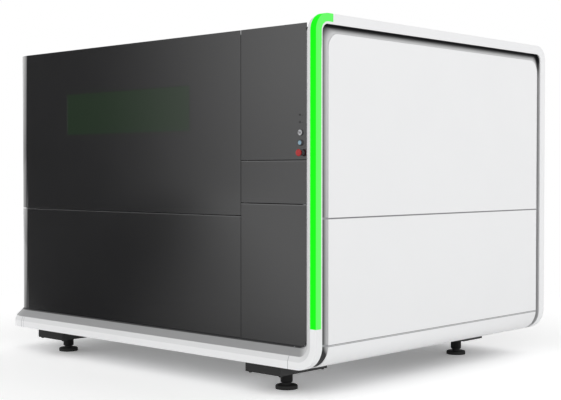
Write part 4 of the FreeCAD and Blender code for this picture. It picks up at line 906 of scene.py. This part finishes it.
console_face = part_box("console_panel")[0].y
key_low, key_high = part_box("key_switch")
start_low, start_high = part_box("start_button")
stop_low, stop_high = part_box("estop_head")
bezel_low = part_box("button_bezels")[0]
key_x = (key_low.x + key_high.x) / 2
key_z = (key_low.z + key_high.z) / 2
start_z = (start_low.z + start_high.z) / 2
stop_x = (stop_low.x + stop_high.x) / 2
stop_z = (stop_low.z + stop_high.z) / 2
ring_seals = bmesh.new()
for x, z in ((key_x, key_z), (key_x, start_z), (stop_x, stop_z)):
    stacked(ring_seals, 32, [(0.0150, -0.0002), (0.0166, 0.0004), (0.0166, 0.0011),
                             (0.0150, 0.0016)], (x, console_face, z), "-Y", True)
new_piece("bezel_seals", ring_seals, rubber, "cabinet")
start_ring = bmesh.new()
stacked(start_ring, 32, [(0.0151, 0.0), (0.0153, 0.0006), (0.0148, 0.0012), (0.0124, 0.0013),
                         (0.0122, 0.0004)], (key_x, bezel_low.y, start_z), "-Y", True)
new_piece("start_ring", start_ring, black_plastic, "cabinet")
ports = bmesh.new()
for rise in (0.058, 0.098):
    port_z = key_z + rise
    block(ports, (key_x - 0.012, console_face - 0.0008, port_z - 0.006),
          (key_x + 0.012, console_face + 0.0010, port_z + 0.006), 0.0005)
    block(ports, (key_x - 0.003, console_face - 0.0012, port_z - 0.0045),
          (key_x + 0.003, console_face - 0.0004, port_z - 0.0030), 0.0002, 1)
new_piece("port_covers", ports, charcoal, "cabinet")
keyway = bmesh.new()
stacked(keyway, 24, [(0.0062, -0.0004), (0.0062, 0.0006), (0.0058, 0.0009),
                     (0.0030, 0.0009), (0.0030, 0.0003)], (key_x, key_low.y + 0.008, key_z),
        "-Y")
block(keyway, (key_x - 0.0012, key_low.y - 0.0012, key_z - 0.0080),
      (key_x + 0.0012, key_low.y + 0.0080, key_z + 0.0080), 0.0005, 1)
new_piece("key_mark", keyway, black_plastic, "key_switch")
stop_ring = bmesh.new()
stacked(stop_ring, 32, [(0.0146, 0.0), (0.0146, 0.0003), (0.0126, 0.0006), (0.0124, 0.0001)],
        (stop_x, stop_low.y + 0.0009, stop_z), "-Y", True)
new_piece("estop_ring", stop_ring, moulded_plastic("dark_red", (0.34, 0.012, 0.010), 0.3),
          "estop_head")

screen_low, screen_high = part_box("monitor")
screen_x = (screen_low.x + screen_high.x) / 2
screen_z = (screen_low.z + screen_high.z) / 2
plate_reach = 0.062
plate_back = screen_high.y + 0.004
rib_reach = 0.110
screen_back = bmesh.new()
block(screen_back, (screen_x - plate_reach, screen_high.y - 0.001, screen_z - plate_reach),
      (screen_x + plate_reach, plate_back, screen_z + plate_reach), 0.002)
for x in (screen_x - 0.050, screen_x + 0.050):
    for z in (screen_z - 0.050, screen_z + 0.050):
        screw_head(screen_back, (x, plate_back, z), "Y")
for z in spread(screen_z + 0.100, screen_z + 0.190, 10):
    block(screen_back, (screen_x - rib_reach, screen_high.y - 0.001, z - 0.0015),
          (screen_x + rib_reach, screen_high.y + 0.002, z + 0.0015), 0.0006, 1)
new_piece("screen_back", screen_back, black_plastic, "cabinet")


def lit_cap():
    """A pale blue translucent cap with a weak lamp behind it."""
    finish, surface = new_surface("lit_cap")
    cloud = grain(surface, 0.006)
    tone = blended(colour(0.17, 0.27, 0.34), colour(0.24, 0.36, 0.44), cloud)
    shaded(surface, Base_Color=tone, Roughness=0.25, Emission_Strength=0.04,
           Emission_Color=colour(0.45, 0.75, 1.0), Normal=pressed(surface, cloud, 0.00002))
    return finish


dress(lit_cap(), "start_button")

# The folded and ground edges of the large panels are rounded by about a millimetre, after
# their loose triangles are joined and each flat face is made one.
edge_rounding = 0.0011
for name in ("door_skin", "table_front", "console_panel", "keyboard_front", "cabinet_door",
             "side_panel_upper", "side_panel_lower", "belly_panel"):
    joined = nodes[name].modifiers.new("joined", "WELD")
    joined.merge_threshold = 0.00001
    flattened = nodes[name].modifiers.new("flattened", "DECIMATE")
    flattened.decimate_type = "DISSOLVE"
    flattened.angle_limit = math.radians(0.2)
    rounded = nodes[name].modifiers.new("rounded_edges", "BEVEL")
    rounded.width = edge_rounding
    rounded.segments = 2
    rounded.limit_method = "ANGLE"
    rounded.angle_limit = math.radians(50)
    rounded.harden_normals = True

# ---- Behind the lower door -------------------------------------------------------------------
# The fibre laser source, a painted steel case on its shelf, and the electrical modules,
# moulded cases on a plate that is screwed to the column's left posts.

pale_grey = grey_coat("pale_grey_paint", 0.48)
module_cases = moulded_plastic("module_cases", (0.10, 0.12, 0.14))
dress(pale_grey, "laser_source")
dress(module_cases, "electrical_unit")

laser_low, laser_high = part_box("laser_source")
laser_front = laser_low.y + 0.040
fan_inset = 0.130
fan_z = (laser_low.z + laser_high.z) / 2
fan_screws = 0.060
wire = 0.003
spoke = 0.054
guards = bmesh.new()
for x in (laser_low.x + fan_inset, laser_high.x - fan_inset):
    for radius in (0.020, 0.036, 0.052):
        stacked(guards, 32, [(radius - wire / 2, 0.0), (radius, 0.0015), (radius, 0.0030),
                             (radius - wire / 2, 0.0040), (radius - wire, 0.0030),
                             (radius - wire, 0.0010)], (x, laser_front, fan_z), "-Y", True)
    for turn in range(4):
        corner = math.radians(45 + 90 * turn)
        screw_head(guards, (x + fan_screws * math.cos(corner), laser_front,
                            fan_z + fan_screws * math.sin(corner)), "-Y")
    block(guards, (x - spoke, laser_front - 0.0020, fan_z - wire / 2),
          (x + spoke, laser_front + 0.0010, fan_z + wire / 2), 0.0006, 1)
    block(guards, (x - wire / 2, laser_front - 0.0020, fan_z - spoke),
          (x + wire / 2, laser_front + 0.0010, fan_z + spoke), 0.0006, 1)
new_piece("laser_fan_guards", guards, chrome, "cabinet")
laser_x = (laser_low.x + laser_high.x) / 2
sockets = bmesh.new()
for z in spread(laser_low.z + 0.040, laser_high.z - 0.040, 3):
    stacked(sockets, 24, [(0.0145, 0.0), (0.0145, 0.003), (0.0110, 0.0035), (0.0110, 0.012),
                          (0.0095, 0.013), (0.0092, 0.006)], (laser_x, laser_front, z), "-Y")
new_piece("laser_sockets", sockets, black_plastic, "cabinet")

unit_low, unit_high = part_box("electrical_unit")
module_rows = 3
module_columns = 7
module_width = 0.070
module_height = 0.100
module_gap = 0.030
module_rise = 0.040
module_face = unit_high.x
terminal = [(0.0040, -0.0005), (0.0040, 0.0012), (0.0034, 0.0018), (0.0010, 0.0018)]
terminals = bmesh.new()
covers = bmesh.new()
for row in range(module_rows):
    for column in range(module_columns):
        y = unit_low.y + module_width + column * (module_width + module_gap)
        z = unit_low.z + module_rise + row * (module_height + module_rise)
        block(covers, (module_face - 0.002, y + 0.006, z + 0.024),
              (module_face + 0.004, y + 0.064, z + 0.076), 0.0015, 1)
        block(covers, (module_face + 0.002, y + 0.028, z + 0.040),
              (module_face + 0.012, y + 0.042, z + 0.060), 0.0012, 1)
        for end_z in (z + 0.011, z + module_height - 0.011):
            for end_y in spread(y + 0.011, y + module_width - 0.011, 4):
                stacked(terminals, 8, terminal, (module_face, end_y, end_z), "X")
new_piece("terminal_screws", terminals, steel_screws, "cabinet")
new_piece("module_covers", covers, moulded_plastic("module_fronts", (0.36, 0.38, 0.40)),
          "cabinet")
